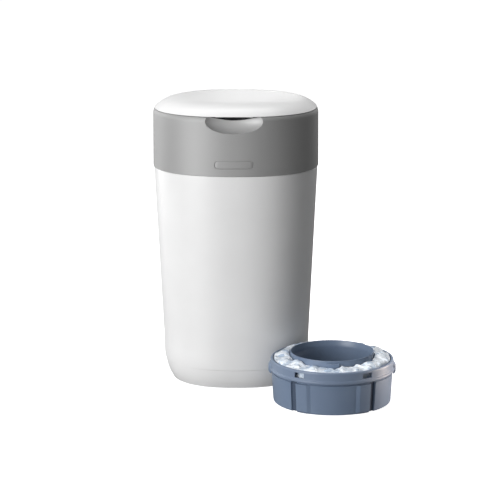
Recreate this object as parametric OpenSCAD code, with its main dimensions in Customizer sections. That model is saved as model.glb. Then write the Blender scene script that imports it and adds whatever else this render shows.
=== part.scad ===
// Nappy bin: a white tub, a grey tilting head and a domed lid, with the
// twist-and-seal film cassette inside the head and a refill cassette beside the tub.
// +Z is up, the front faces -Y, and the origin is the middle of the tub's base.

/* [Plan and heights] */
// Half width of the collar at its lower edge
collar_half = 125.2; // [123:0.2:132]
// Fullness of the plan's corners: 2 is a circle, more is squarer
plan_power = 2.3; // [2.2:0.05:2.5]
// Straight sides that make up each plan outline
plan_sides = 72; // [48:8:96]
// Height of the tub's rim above the floor
tub_h = 327; // [300:1:350]
// Height of the head, from the tub's rim to the lid's gap
head_h = 87; // [86:1:94]

/* [Tub] */
// How far the collar stands out past the tub's rim
collar_overhang = 1.2; // [0.8:0.1:1.8]
// Half width of the tub at the foot of its straight wall
tub_low_half = 111; // [106:0.5:114]
// Half width of the tub where it stands on the floor
tub_base_half = 98.7; // [94:0.5:101]
// Height where the straight wall turns into the base's curve
tub_curve_h = 58; // [50:1:66]
// Fullness of the base's curve
tub_curve_power = 3.3; // [2.8:0.1:3.8]
// Thickness of the tub's wall
tub_wall = 2.4; // [2:0.1:2.8]
// Thickness of the tub's floor
tub_floor = 3; // [2.6:0.1:4]
// Height of the crease that runs along the foot of each side
crease_z = 30; // [26:1:34]
// Depth of the crease at the middle of each side
crease_depth = 0.9; // [0.5:0.1:1.3]
// Radius of each non-slip pad
pad_r = 11; // [8:0.5:14]
// Thickness of each non-slip pad, which lies flush in the floor
pad_t = 1.4; // [1:0.1:1.8]
// Distance of the pads from the bin's middle planes
pad_offset = 56; // [46:1:60]

/* [Head hinge] */
// Radius of the head hinge's barrel
head_barrel_r = 4.2; // [3.8:0.1:4.6]
// Radius of the head hinge's pin
head_pin_r = 2; // [1.6:0.1:2.4]
// How far the head hinge's axis stands out past the tub's rim
head_axis_out = 4.5; // [4.4:0.1:5.4]
// How far the head hinge's axis stands above the tub's rim
head_axis_up = 3; // [2.8:0.1:3.8]
// Half length of the knuckle on the head
head_knuckle = 19.5; // [14:0.5:24]
// Length of each ear on the tub
tub_ear = 16; // [12:0.5:18]

/* [Collar] */
// Thickness of the collar's wall
collar_wall = 2.4; // [2:0.1:2.8]
// How much the collar draws in from its lower edge to its shoulder
collar_draft = 0.4; // [0.2:0.1:1]
// Height of the rounded shoulder at the top of the collar
shoulder_h = 7.5; // [6:0.5:9]
// Radius of the rounded shoulder
shoulder_r = 13; // [12:0.5:16]
// Width of the flat land at the top, under the lid's edge
land_w = 3.9; // [3.4:0.1:4.4]
// Thickness of that land
land_t = 3; // [2.4:0.1:3.4]
// Half width of the finger scoop at the front
scoop_half = 43.5; // [36:0.5:50]
// Radius of the finger scoop across its width
scoop_r = 19; // [17:0.5:20]
// Depth of the scoop's widest line below the lid's gap
scoop_drop = 5; // [3:0.5:6]
// How far the scoop's axis stands out in front of the collar
scoop_out = 2; // [1.8:0.1:4]
// Width of the bare label recess
label_w = 57; // [40:1:64]
// Height of the bare label recess
label_h = 12.3; // [9:0.1:14]
// Height of the label recess's middle above the collar's lower edge
label_up = 17.4; // [15:0.2:24]
// Depth of the label recess
label_d = 0.7; // [0.4:0.1:1]

/* [Lid] */
// Gap between the collar's land and the lid's edge
lid_gap = 0.7; // [0.5:0.1:1]
// How far the lid's edge lies inside the shoulder's top
lid_inset = 0; // [0:0.1:0.6]
// Rise of the lid's rounded edge
lid_edge_h = 15; // [13:0.5:18]
// Further rise of the lid's middle
lid_crown = 2.2; // [1:0.1:4]
// Fullness of the lid's rounded edge
lid_power = 8; // [6:0.5:10]
// Thickness of the lid's shell
lid_wall = 2.2; // [1.8:0.1:2.6]
// Radius of the lid hinge's barrel
lid_barrel_r = 4; // [3.6:0.1:4.3]
// Radius of the lid hinge's pin
lid_pin_r = 1.5; // [1.2:0.1:1.8]
// Half length of the knuckle on the lid
lid_knuckle = 12; // [9:0.5:14]
// Length of each knuckle on the collar
collar_ear = 14; // [10:0.5:16]
// Thickness of the lid's lining
lining_t = 2; // [1.6:0.1:2.4]
// Width of the lid's seal
seal_w = 3.6; // [3:0.1:3.8]
// Thickness of the lid's seal
seal_t = 2; // [1.6:0.1:2.6]

/* [Head inside] */
// Thickness of the liner's walls and floors
liner_t = 2.2; // [1.8:0.1:2.4]
// Radius of the throat through the liner's floor and the base plate
throat_r = 66; // [64:0.5:68]
// Radial room between the ratchet teeth and the well's wall
well_room = 7; // [6.4:0.1:7.4]
// Thickness of the head's base plate
base_t = 2.5; // [2.2:0.1:3]
// Depth of the skirt that drops inside the tub's rim
skirt_h = 8.8; // [6:0.2:12]
// Thickness of that skirt
skirt_t = 2.5; // [2:0.1:3]
// Room between that skirt and the tub's wall
skirt_room = 0.6; // [0.5:0.1:0.9]
// Radius of each screw boss
boss_r = 4.5; // [4:0.1:5]
// Radius of each screw's shank
screw_r = 1.5; // [1.3:0.1:1.8]
// Length of each screw's shank above the base plate
screw_l = 14; // [10:1:20]
// Radius of each screw's head
screw_head_r = 3.4; // [3:0.1:3.8]

/* [Twist ring] */
// Thickness of the twist ring's wall and floor
ring_t = 2.2; // [1.8:0.1:2.6]
// Room between the cassette's lip and the twist ring
cassette_room = 0.5; // [0.4:0.1:0.7]
// Width of the ring's top flange
flange_w = 5.4; // [4.6:0.1:5.6]
// Number of finger ribs on the flange
rib_count = 36; // [24:4:48]
// Height of each finger rib
rib_h = 2.4; // [1.6:0.1:2.8]
// Number of ratchet teeth
tooth_count = 48; // [36:4:60]
// Height of each ratchet tooth
tooth_d = 2.6; // [2:0.1:2.8]
// Length of each ratchet tooth up the ring
tooth_l = 8; // [6:0.5:12]
// Thickness of the click spring's leaf
leaf_t = 1.3; // [1:0.1:1.5]
// Angle that the click spring's leaf spans
leaf_angle = 26; // [18:1:36]

/* [Film grip and cutter] */
// Number of flexible fingers that hold the twisted film
finger_count = 12; // [8:1:16]
// Radius of the opening between the fingers' tips
finger_tip_r = 38; // [34:0.5:44]
// Drop of the fingers from the base plate to their tips
finger_drop = 24; // [18:0.5:28]
// Thickness of each finger
finger_t = 2; // [1.6:0.1:2.6]
// Width of the slots between the fingers
finger_slot = 3; // [2:0.1:4]
// Room between the ends of the cutter's track and the base plate's skirt
track_room = 8.4; // [6:0.2:16]
// Width of the cutter's track
track_w = 12; // [10:0.5:13]
// Thickness of the cutter's track
track_t = 5; // [4.4:0.1:6]
// How far the track's middle lies outside the throat
track_out = 22; // [21:0.5:23]
// Length of the cutter's slider along the track
slider_l = 28; // [22:1:34]
// Thickness of the slider's walls
slider_t = 2.4; // [2:0.1:2.8]
// Thickness of the cutter's blade
blade_t = 0.5; // [0.4:0.1:0.8]

/* [Cassette] */
// Radius of the cassette casing under its band
casing_top_r = 88.9; // [88:0.1:89.2]
// How far the casing draws in from there to its base
casing_draft = 2.4; // [1.6:0.1:3.6]
// How far the band's lower lip stands out past the casing
band_out = 2.6; // [2.3:0.1:3.2]
// How far the two bayonet lugs stand out past that lip
lug_out = 2.5; // [2:0.1:3]
// Height of the casing's outer rim
rim_h = 64; // [60:0.1:66]
// Height of the band's lower lip
band_z = 46.5; // [44:0.1:48]
// Height of the cassette over its inner collar
cassette_h = 74; // [70:0.5:75]
// Inner radius of the cassette's throat
throat_in_r = 58; // [56:0.5:58.5]
// Thickness of the cassette's walls
cassette_t = 1.8; // [1.5:0.1:2]
// Angle of the windows and pads from the cassette's front
window_angle = 33; // [30:0.5:35]
// Width of each window
window_w = 15.5; // [11:0.5:17]
// Height of each window
window_h = 7.5; // [5:0.1:8]
// Angle that each raised pad spans
pad_angle = 15; // [11:0.5:17]
// How far each pad stands out at its top, under the band's lip
pad_proud = 1.9; // [0.9:0.1:2.2]
// Angle of the groove beside each pad
groove_angle = 5.5; // [3:0.5:5.5]
// How far the inner collar laps the casing's tube below its flange
collar_lap = 4; // [3:0.5:6]
// How far that flange lies below the casing's rim
flange_drop = 5; // [4:0.5:6]
// Thickness of the flange
flange_t = 1.5; // [1.2:0.1:2]
// Width of the inner collar's flange, which holds the film down
flange_out = 5; // [4:0.5:6]
// Width of the notches in that flange
notch_w = 9; // [6:0.5:11]
// Width of the inner collar's front tongue
tongue_w = 15; // [10:0.5:18]
// How far the tongue ends below the inner collar's top
tongue_drop = 5.6; // [4:0.2:8]
// Height of the gathered film over the casing's rim, beside the funnel
film_heap = 4.6; // [2:0.2:6]
// Place of the refill cassette beside the tub
refill_x = 144; // [144:0.5:155]
// Place of the refill cassette in front of the bin's middle
refill_y = -154; // [-170:0.5:-154]

/* [Hidden] */
$fn = 96;

// Clearances: between parts that turn or lift, in a pin's bore, and past a cutter's end
gap = 0.3;
pin_room = 0.05;
past = 1;

// Levels up the bin
collar_z = tub_h + gap;
gap_z = tub_h + head_h;
rim_z = gap_z + lid_gap;
base_z = tub_h + 0.8;
liner_z = base_z + base_t;
well_z = liner_z + liner_t;
ring_z = well_z + gap;
cassette_z = ring_z + ring_t + gap;
ring_top = cassette_z + band_z + 5;
deck_top = ring_top + rib_h + 2.2;

// Cassette's radii
casing_low_r = casing_top_r - casing_draft;
band_r = casing_top_r + band_out;
lug_r = band_r + lug_out;

// Half widths of the plan and radii round the bin's axis
tub_top_half = collar_half - collar_overhang;
collar_top_half = collar_half - collar_draft;
land_half = collar_top_half - shoulder_r + sqrt(pow(shoulder_r, 2) - pow(shoulder_h, 2));
land_in_half = land_half - land_w;
lid_half = land_half - lid_inset;
liner_half = collar_top_half - collar_wall - gap;
ring_in_r = band_r + cassette_room;
ring_out_r = ring_in_r + ring_t;
flange_r = ring_out_r + flange_w;
tooth_r = ring_out_r + tooth_d;
well_r = tooth_r + well_room;
well_mouth_r = flange_r + 0.5;
skirt_half = tub_half(tub_h - skirt_h) - tub_wall - skirt_room;

// Screws: midway between the well's wall and the skirt, on the plan's diagonal
boss_d = (well_r + liner_t + (skirt_half - skirt_t) * pow(2, 0.5 - 1 / plan_power) - screw_head_r - gap) / 2;
boss_x = boss_d / sqrt(2);

// Cutter's track and slider: place, stops, groove, lips and the slot that guards the blade
track_y = throat_r + track_out;
slider_out = track_w / 2 + gap + slider_t;
track_half = min(plan_reach(skirt_half - skirt_t, track_y + slider_out) - track_room, boss_x - track_room);
track_stop = 3;
track_groove = 2;
groove_z = base_z - track_t / 2;
lip = 1.2;
lip_t = track_groove - 2 * gap;
slider_x = -track_half + track_stop + 1;
slider_y0 = -track_y - slider_out;
slider_y1 = -track_y + slider_out;
slider_z = base_z - track_t - gap - slider_t;
blade_slot = 12;

// Hinge axes, in the bin's middle plane
head_axis = [tub_top_half + head_axis_out, tub_h + head_axis_up];
lid_axis = [collar_top_half - 0.3, gap_z + lid_gap / 2];

// A point of the plan outline of half width w, at the angle a of its rule
function signed_power(v, p) = sign(v) * pow(abs(v), p);
function plan_point(w, a) = [
    w * signed_power(cos(a), 2 / plan_power),
    w * signed_power(sin(a), 2 / plan_power)
];
function plan_outline(w) = [for (i = [0:plan_sides - 1]) plan_point(w, 360 * i / plan_sides)];

// The same outline at a height, drawn in at the middle of each side
function plan_ring(w, z, inset = 0) = [
    for (i = [0:plan_sides - 1])
        let (a = 360 * i / plan_sides, p = plan_point(w - inset * pow(cos(2 * a), 2), a))
            [p.x, p.y, z]
];

// Half width of the tub's outside at a height
function tub_half(z) = z >= tub_curve_h
    ? tub_low_half + (tub_top_half - tub_low_half) * (z - tub_curve_h) / (tub_h - tub_curve_h)
    : tub_low_half
        - (tub_low_half - tub_base_half) * pow((tub_curve_h - z) / tub_curve_h, tub_curve_power);

// Half width of the plan at a distance y in front of its middle
function plan_reach(w, y) = w * pow(1 - pow(y / w, plan_power), 1 / plan_power);

// How far the plan's front falls back from its middle at a distance x to the side
function plan_sag(w, x) = w - plan_reach(w, x);

// Radius of the round front that comes closest to the plan over a width of 2 x
function front_r(w, x) = pow(x, 2) / (2 * plan_sag(w, x));

// Height of the lid's surface over its edge, at a share of its half width
function lid_rise(share, edge, crown) =
    edge * (1 - pow(share, lid_power)) + crown * (1 - pow(share, 2));

// A solid through a list of rings, closed by its ends or back to its first ring
module loft(rings, loop = false) {
    n = len(rings[0]);
    m = len(rings);
    last = loop ? m - 1 : m - 2;
    sides = [
        for (r = [0:last], i = [0:n - 1])
            let (a = r * n, b = (r + 1) % m * n, j = (i + 1) % n)
                each [[a + i, b + i, b + j], [a + i, b + j, a + j]]
    ];
    ends = loop ? [] : [
        [for (i = [0:n - 1]) i],
        [for (i = [n - 1:-1:0]) (m - 1) * n + i]
    ];
    polyhedron(points = [for (ring = rings) each ring], faces = concat(sides, ends), convexity = 6);
}

module plan_slab(w, z0, z1) {
    translate([0, 0, z0])
        linear_extrude(z1 - z0)
            polygon(plan_outline(w));
}

module plan_band(w_out, w_in, z0, z1) {
    translate([0, 0, z0])
        linear_extrude(z1 - z0)
            difference() {
                polygon(plan_outline(w_out));
                polygon(plan_outline(w_in));
            }
}

module tube(r_out, r_in, z0, z1) {
    translate([0, 0, z0])
        difference() {
            cylinder(h = z1 - z0, r = r_out);
            translate([0, 0, -past])
                cylinder(h = z1 - z0 + 2 * past, r = r_in);
        }
}

// A bar along X with the given outline in Y and Z
module along_x(x0, x1) {
    translate([x0, 0, 0])
        rotate([90, 0, 90])
            linear_extrude(x1 - x0)
                children();
}

// A round rod along X through a point in Y and Z
module rod_x(point, r, x0, x1) {
    translate([x0, point[0], point[1]])
        rotate([0, 90, 0])
            cylinder(h = x1 - x0, r = r);
}

// An egg-shaped solid about an X axis, which cuts and lines the finger scoop
module scoop_solid(grow = 0) {
    steps = 16;
    a = scoop_half + grow;
    r = scoop_r + grow;
    translate([0, -collar_top_half - scoop_out, gap_z - scoop_drop])
        rotate([0, 90, 0])
            rotate_extrude()
                polygon([for (i = [0:steps]) let (t = 180 * i / steps - 90) [r * cos(t), a * sin(t)]]);
}

// A tall round solid whose front follows the collar's, in by the given depth
module front_solid(x, depth) {
    r = front_r(collar_top_half, x);
    translate([0, r - collar_top_half + depth, collar_z])
        cylinder(h = 2 * head_h, r = r, $fn = 360);
}

module rounded_slab_y(w, h, r, y0, y1) {
    translate([0, y1, 0])
        rotate([90, 0, 0])
            linear_extrude(y1 - y0)
                union() {
                    square([w - 2 * r, h], center = true);
                    square([w, h - 2 * r], center = true);
                    for (sx = [-1, 1], sy = [-1, 1])
                        translate([sx * (w / 2 - r), sy * (h / 2 - r)])
                            circle(r);
                }
}

// Tub: a drafted rounded-square cup with a creased foot and two hinge ears
module tub_shell() {
    edge = 1.5;
    low = crease_z - 0.8;
    high = crease_z + 0.8;
    outside = concat(
        [plan_ring(tub_half(0) - edge, 0, crease_depth)],
        [for (z = [edge, 6, 13, 21, low]) plan_ring(tub_half(z), z, crease_depth)],
        [for (z = [high, (high + tub_curve_h) / 2, tub_curve_h, tub_h - edge]) plan_ring(tub_half(z), z)],
        [plan_ring(tub_half(tub_h) - edge / 2, tub_h)]
    );
    inside = concat(
        [for (z = [tub_h, tub_curve_h, crease_z, 12, 6]) plan_ring(tub_half(z) - tub_wall, z)],
        [plan_ring(tub_half(tub_floor) - tub_wall - 2 * edge, tub_floor)]
    );
    root_z = head_axis[1] - 30;
    color("#f3f3f2")
        difference() {
            union() {
                loft(concat(outside, inside));
                for (side = [-1, 1]) {
                    x0 = side > 0 ? head_knuckle + 0.4 : -head_knuckle - 0.4 - tub_ear;
                    rod_x(head_axis, head_barrel_r, x0, x0 + tub_ear);
                    along_x(x0, x0 + tub_ear)
                        polygon([
                            [tub_half(root_z) - tub_wall / 2, root_z],
                            [head_axis[0] + head_barrel_r, head_axis[1] - 1],
                            [head_axis[0] + head_barrel_r, head_axis[1]],
                            [head_axis[0] - head_barrel_r, head_axis[1]],
                            [head_axis[0] - head_barrel_r, tub_h],
                            [tub_half(tub_h) - tub_wall / 2, tub_h - 2 * edge]
                        ]);
                }
            }
            rod_x(head_axis, head_pin_r + pin_room, -2 * head_knuckle - tub_ear, 2 * head_knuckle + tub_ear);
            for (sx = [-1, 1], sy = [-1, 1])
                translate([sx * pad_offset, sy * pad_offset, -past])
                    cylinder(h = pad_t + past, r = pad_r + gap / 2);
        }
}

module foot_pads() {
    color("#5c5e61")
        for (sx = [-1, 1], sy = [-1, 1])
            translate([sx * pad_offset, sy * pad_offset, 0])
                cylinder(h = pad_t, r = pad_r);
}

module head_hinge_pin() {
    reach = head_knuckle + 0.4 + tub_ear;
    color("#c9cbcd") {
        rod_x(head_axis, head_pin_r, -reach, reach + 0.6);
        rod_x(head_axis, head_pin_r + 1, reach + 0.3, reach + 1.8);
    }
}

// Collar: the grey skin of the head, with its shoulder, finger scoop and bare label recess
module collar_shell() {
    arc_steps = 4;
    arc_mid = [collar_top_half - shoulder_r, gap_z - shoulder_h];
    profile = concat(
        [[collar_half, collar_z]],
        [
            for (i = [0:arc_steps])
                let (a = asin(shoulder_h / shoulder_r) * i / arc_steps)
                    arc_mid + shoulder_r * [cos(a), sin(a)]
        ],
        [
            [land_in_half, gap_z],
            [land_in_half, gap_z - land_t],
            [collar_top_half - collar_wall, gap_z - land_t],
            [collar_half - collar_wall, collar_z]
        ]
    );
    label_x = label_w / 2;
    head_notch = head_knuckle + tub_ear + 1.4;
    lid_notch = lid_knuckle + collar_ear + 1.4;
    color("#a8a8a7")
        difference() {
            union() {
                loft([for (p = profile) plan_ring(p[0], p[1])], loop = true);
                intersection() {
                    scoop_solid(liner_t);
                    front_solid(scoop_half, collar_wall / 2);
                    translate([-collar_half, -collar_half, collar_z])
                        cube([2 * collar_half, collar_half, gap_z - collar_z]);
                }
            }
            scoop_solid();
            translate([-head_notch, 0, collar_z - past])
                cube([2 * head_notch, 2 * collar_half, head_axis[1] + head_barrel_r + 0.8 - collar_z + past]);
            translate([-lid_notch, 0, lid_axis[1] - 12.3])
                cube([2 * lid_notch, 2 * collar_half, head_h]);
            difference() {
                translate([0, 0, collar_z + label_up])
                    rounded_slab_y(label_w, label_h, 4.5, -collar_half - past, -collar_half + 4);
                front_solid(label_x, label_d - 0.1);
            }
        }
}

// Liner: the tray and round well inside the collar, with the screw bosses and the lid's hinge ears
module collar_liner() {
    ear_back = collar_top_half - 0.2;
    reach = lid_knuckle + 0.4 + collar_ear;
    color("#c3c4c4")
        difference() {
            union() {
                tube(well_r + liner_t, throat_r, liner_z, well_z);
                tube(well_r + liner_t, well_r, liner_z, deck_top);
                translate([0, 0, deck_top - liner_t])
                    linear_extrude(liner_t)
                        difference() {
                            polygon(plan_outline(liner_half));
                            circle(well_mouth_r);
                        }
                plan_band(liner_half, liner_half - liner_t, deck_top - liner_t, gap_z - land_t - gap);
                for (a = [45:90:315])
                    rotate([0, 0, a])
                        translate([boss_d, 0, liner_z])
                            cylinder(h = deck_top - liner_z - liner_t / 2, r = boss_r);
                along_x(-reach, reach)
                    polygon([
                        [liner_half - liner_t, lid_axis[1] - 12],
                        [ear_back, lid_axis[1] - 12],
                        [ear_back, lid_axis[1] - lid_barrel_r - 0.4],
                        [liner_half - liner_t, lid_axis[1] - lid_barrel_r - 0.4]
                    ]);
                for (side = [-1, 1]) {
                    x0 = side > 0 ? lid_knuckle + 0.4 : -reach;
                    rod_x(lid_axis, lid_barrel_r, x0, x0 + collar_ear);
                    along_x(x0, x0 + collar_ear)
                        polygon([
                            [lid_axis[0] - lid_barrel_r, lid_axis[1]],
                            [lid_axis[0] - lid_barrel_r, lid_axis[1] - lid_barrel_r - past],
                            [ear_back, lid_axis[1] - lid_barrel_r - past],
                            [lid_axis[0] + lid_barrel_r, lid_axis[1] - 1],
                            [lid_axis[0] + lid_barrel_r, lid_axis[1]]
                        ]);
                }
            }
            scoop_solid(liner_t + gap);
            rod_x(lid_axis, lid_pin_r + pin_room, -2 * reach, 2 * reach);
            for (a = [45:90:315])
                rotate([0, 0, a])
                    translate([boss_d, 0, liner_z - past])
                        cylinder(h = screw_l + 2 * past, r = screw_r + pin_room);
        }
}

// Base plate: closes the head, plugs into the tub's rim and carries the head's knuckle
module head_base() {
    color("#c3c4c4")
        difference() {
            union() {
                plan_slab(collar_top_half - collar_wall - gap, base_z, liner_z);
                plan_band(skirt_half, skirt_half - skirt_t, tub_h - skirt_h, base_z + base_t / 2);
                rod_x(head_axis, head_barrel_r, -head_knuckle, head_knuckle);
                along_x(-head_knuckle, head_knuckle)
                    polygon([
                        [skirt_half, base_z],
                        [head_axis[0], base_z],
                        [head_axis[0], liner_z + 1],
                        [skirt_half, liner_z]
                    ]);
            }
            translate([0, 0, tub_h - skirt_h])
                cylinder(h = skirt_h + base_t + past, r = throat_r);
            rod_x(head_axis, head_pin_r + pin_room, -2 * head_knuckle, 2 * head_knuckle);
            for (a = [45:90:315])
                rotate([0, 0, a])
                    translate([boss_d, 0, base_z - past])
                        cylinder(h = base_t + 2 * past, r = screw_r + pin_room);
        }
}

module base_screws() {
    color("#9b9ea2")
        for (a = [45:90:315])
            rotate([0, 0, a])
                translate([boss_d, 0, base_z]) {
                    cylinder(h = base_t + screw_l, r = screw_r);
                    difference() {
                        translate([0, 0, -2])
                            cylinder(h = 2, r1 = screw_head_r - 0.6, r2 = screw_head_r);
                        for (turn = [0, 90])
                            rotate([0, 0, turn])
                                translate([-screw_r, -0.4, -2 - past])
                                    cube([2 * screw_r, 0.8, 1.2 + past]);
                    }
                }
}

module lid_hinge_pin() {
    reach = lid_knuckle + 0.4 + collar_ear;
    color("#c9cbcd") {
        rod_x(lid_axis, lid_pin_r, -reach, reach + 0.6);
        rod_x(lid_axis, lid_pin_r + 0.8, reach + 0.3, reach + 1.2);
    }
}

// Click spring: a curved leaf round the ratchet, with a nose between two teeth
module click_spring() {
    leaf_r = well_r - 1.6;
    pitch = 360 / tooth_count;
    nose = 90 + pitch / 2;
    nose_w = 1.4;
    nose_r = ring_out_r + 0.7;
    foot_angle = 7;
    color("#8f9498") {
        rotate([0, 0, nose - 0.6])
            rotate_extrude(angle = leaf_angle)
                translate([leaf_r - leaf_t, well_z + 1])
                    square([leaf_t, tooth_l]);
        rotate([0, 0, nose + leaf_angle - foot_angle])
            rotate_extrude(angle = foot_angle)
                translate([leaf_r - 3, well_z])
                    square([well_r - gap - leaf_r + 3, tooth_l + 1]);
        rotate([0, 0, nose])
            translate([0, 0, well_z + 1])
                linear_extrude(tooth_l)
                    polygon([
                        [nose_r, -nose_w / 4],
                        [nose_r, nose_w / 4],
                        [leaf_r - leaf_t / 2, nose_w],
                        [leaf_r - leaf_t / 2, -nose_w / 2]
                    ]);
    }
}

// Film grip: a soft ring of sloping fingers that hold the twisted film
module film_grip() {
    tip_z = base_z - finger_drop;
    root_r = throat_r + 1;
    color("#70757b")
        difference() {
            union() {
                tube(throat_r + 8, root_r - finger_t, base_z - 2.2, base_z);
                rotate_extrude()
                    polygon([
                        [root_r - finger_t, base_z],
                        [root_r + finger_t, base_z],
                        [root_r + finger_t / 2, base_z - 3],
                        [finger_tip_r + finger_t, tip_z],
                        [finger_tip_r, tip_z],
                        [finger_tip_r, tip_z + finger_t / 2]
                    ]);
            }
            for (i = [0:finger_count - 1])
                rotate([0, 0, 360 * (i + 0.5) / finger_count])
                    translate([finger_tip_r - past, -finger_slot / 2, tip_z - past])
                        cube([root_r - finger_tip_r - 2, finger_slot, finger_drop - 4 + past]);
        }
}

// Track: the bar under the head along which the film cutter slides
module cutter_track() {
    color("#c3c4c4")
        difference() {
            translate([-track_half, -track_y - track_w / 2, base_z - track_t])
                cube([2 * track_half, track_w, track_t]);
            for (side = [-1, 1])
                translate([
                    -track_half + track_stop,
                    -track_y + (side > 0 ? track_w / 2 - track_groove : -track_w / 2 - past),
                    groove_z - track_groove / 2
                ])
                    cube([2 * (track_half - track_stop), track_groove + past, track_groove]);
        }
}

// Slider: a carriage that clips round the track, with a film slot and a ribbed grip
module cutter_slider() {
    grip_z = slider_z - 7;
    nose_y = slider_y1 + 9;
    ribs = 6;
    color("#6f8096")
        difference() {
            union() {
                along_x(slider_x, slider_x + slider_l)
                    polygon([
                        [slider_y0, slider_z],
                        [slider_y0, groove_z + lip_t / 2],
                        [slider_y0 + slider_t + gap + lip, groove_z + lip_t / 2],
                        [slider_y0 + slider_t + gap + lip, groove_z - lip_t / 2],
                        [slider_y0 + slider_t, groove_z - lip_t / 2],
                        [slider_y0 + slider_t, slider_z + slider_t],
                        [slider_y1 - slider_t, slider_z + slider_t],
                        [slider_y1 - slider_t, groove_z - lip_t / 2],
                        [slider_y1 - slider_t - gap - lip, groove_z - lip_t / 2],
                        [slider_y1 - slider_t - gap - lip, groove_z + lip_t / 2],
                        [slider_y1, groove_z + lip_t / 2],
                        [slider_y1, slider_z]
                    ]);
                translate([slider_x, slider_y0 + 3, grip_z])
                    cube([slider_l, slider_y1 - slider_y0 - 6, slider_z - grip_z + past]);
                translate([slider_x, slider_y1 - 3 - past, grip_z])
                    cube([slider_l, nose_y - slider_y1 + 3 + past, slider_z - grip_z + slider_t]);
            }
            translate([slider_x + slider_l - blade_slot, slider_y1 + 3, slider_z - 3.4])
                cube([blade_slot + past, nose_y - slider_y1 - 3 + past, 3]);
            for (i = [0:ribs - 1])
                translate([slider_x + 2.5 + i * (slider_l - 6.5) / (ribs - 1), slider_y0 + 3 - past, grip_z - past])
                    cube([1.5, 1 + past, 5 + past]);
        }
}

module cutter_blade() {
    color("#d2d4d6")
        translate([slider_x + slider_l - blade_slot + 2, slider_y1 + 3.3, slider_z - 3.4])
            linear_extrude(3)
                polygon([[0, 0], [blade_t, 0], [blade_t + 4.6, 5.2], [4.6, 5.2]]);
}

// Lid: a shallow domed shell whose edge is notched round the hinge
module lid_shell() {
    steps = 8;
    shares = [for (i = [0:steps]) 1 - 0.93 * pow(i / steps, 2)];
    inside = [
        for (i = [steps:-1:0])
            let (s = shares[i])
                plan_ring((lid_half - lid_wall) * s, rim_z + lid_rise(s, lid_edge_h - lid_wall, lid_crown))
    ];
    outside = [
        for (s = shares)
            plan_ring(lid_half * s, rim_z + lid_rise(s, lid_edge_h, lid_crown))
    ];
    notch = lid_knuckle + collar_ear + 1;
    color("#f5f5f4")
        difference() {
            loft(concat(inside, outside));
            translate([-notch, lid_axis[0] - lid_barrel_r - 0.6, rim_z - past])
                cube([2 * notch, 20, lid_edge_h + 2 * past]);
        }
}

// Lining: the flat inner face of the lid, with the round skirt that carries the seal
module lid_lining() {
    skirt_r = well_mouth_r + 1.2;
    plate_z = gap_z + 0.4;
    seat = 0.9925;
    seat_z = rim_z + lid_rise(seat, lid_edge_h - lid_wall, lid_crown) - gap;
    color("#e9eaea")
        difference() {
            union() {
                plan_slab(land_in_half - 1.7, plate_z - lining_t, plate_z);
                plan_slab((lid_half - lid_wall) * seat, plate_z, seat_z);
                tube(skirt_r, skirt_r - liner_t, deck_top + gap + seal_t, gap_z);
                rod_x(lid_axis, lid_barrel_r, -lid_knuckle, lid_knuckle);
                translate([-lid_knuckle, land_in_half - 8, plate_z - lining_t])
                    cube([2 * lid_knuckle, lid_axis[0] - land_in_half + 8, lining_t]);
            }
            intersection() {
                scoop_solid(liner_t + 0.6);
                translate([-collar_half, -collar_half, 0])
                    cube([2 * collar_half, collar_half, plate_z]);
            }
            rod_x(lid_axis, lid_pin_r + pin_room, -2 * lid_knuckle, 2 * lid_knuckle);
        }
}

module lid_seal() {
    seal_r = well_mouth_r + 2.2;
    color("#7a7f85")
        tube(seal_r, seal_r - seal_w, deck_top + gap, deck_top + gap + seal_t);
}

// Twist ring: the turning cup that holds the cassette by its lugs
module twist_ring() {
    color("#9aa5b3")
        difference() {
            union() {
                tube(ring_out_r, ring_in_r, ring_z, ring_top);
                tube(ring_out_r, throat_r + 4, ring_z, ring_z + ring_t);
                tube(flange_r, ring_in_r, ring_top - ring_t, ring_top);
                for (i = [0:rib_count - 1])
                    rotate([0, 0, 360 * (i + 0.5) / rib_count])
                        translate([ring_out_r - 1, -0.8, ring_top - past])
                            cube([flange_w + 0.6, 1.6, rib_h + past]);
                translate([0, 0, ring_z + 1])
                    linear_extrude(tooth_l)
                        difference() {
                            polygon([
                                for (i = [0:tooth_count - 1])
                                    let (a = 360 * i / tooth_count, b = 360 / tooth_count)
                                        each [
                                            (ring_out_r - 0.3) * [cos(a + b * 0.25), sin(a + b * 0.25)],
                                            (ring_out_r - 0.3) * [cos(a + b * 0.75), sin(a + b * 0.75)],
                                            tooth_r * [cos(a + b * 0.9), sin(a + b * 0.9)],
                                            tooth_r * [cos(a + b), sin(a + b)]
                                        ]
                            ]);
                            circle(ring_in_r);
                        }
            }
            for (a = [0, 180])
                rotate([0, 0, a])
                    translate([0, 0, cassette_z + band_z - 6 - gap])
                        rotate([0, 0, -lug_span() / 2 - 0.6])
                            rotate_extrude(angle = lug_span() + 1.2)
                                translate([ring_in_r - past, 0])
                                    square([lug_r - ring_in_r + past + gap, 20]);
        }
}

function lug_span() = 12;

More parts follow.
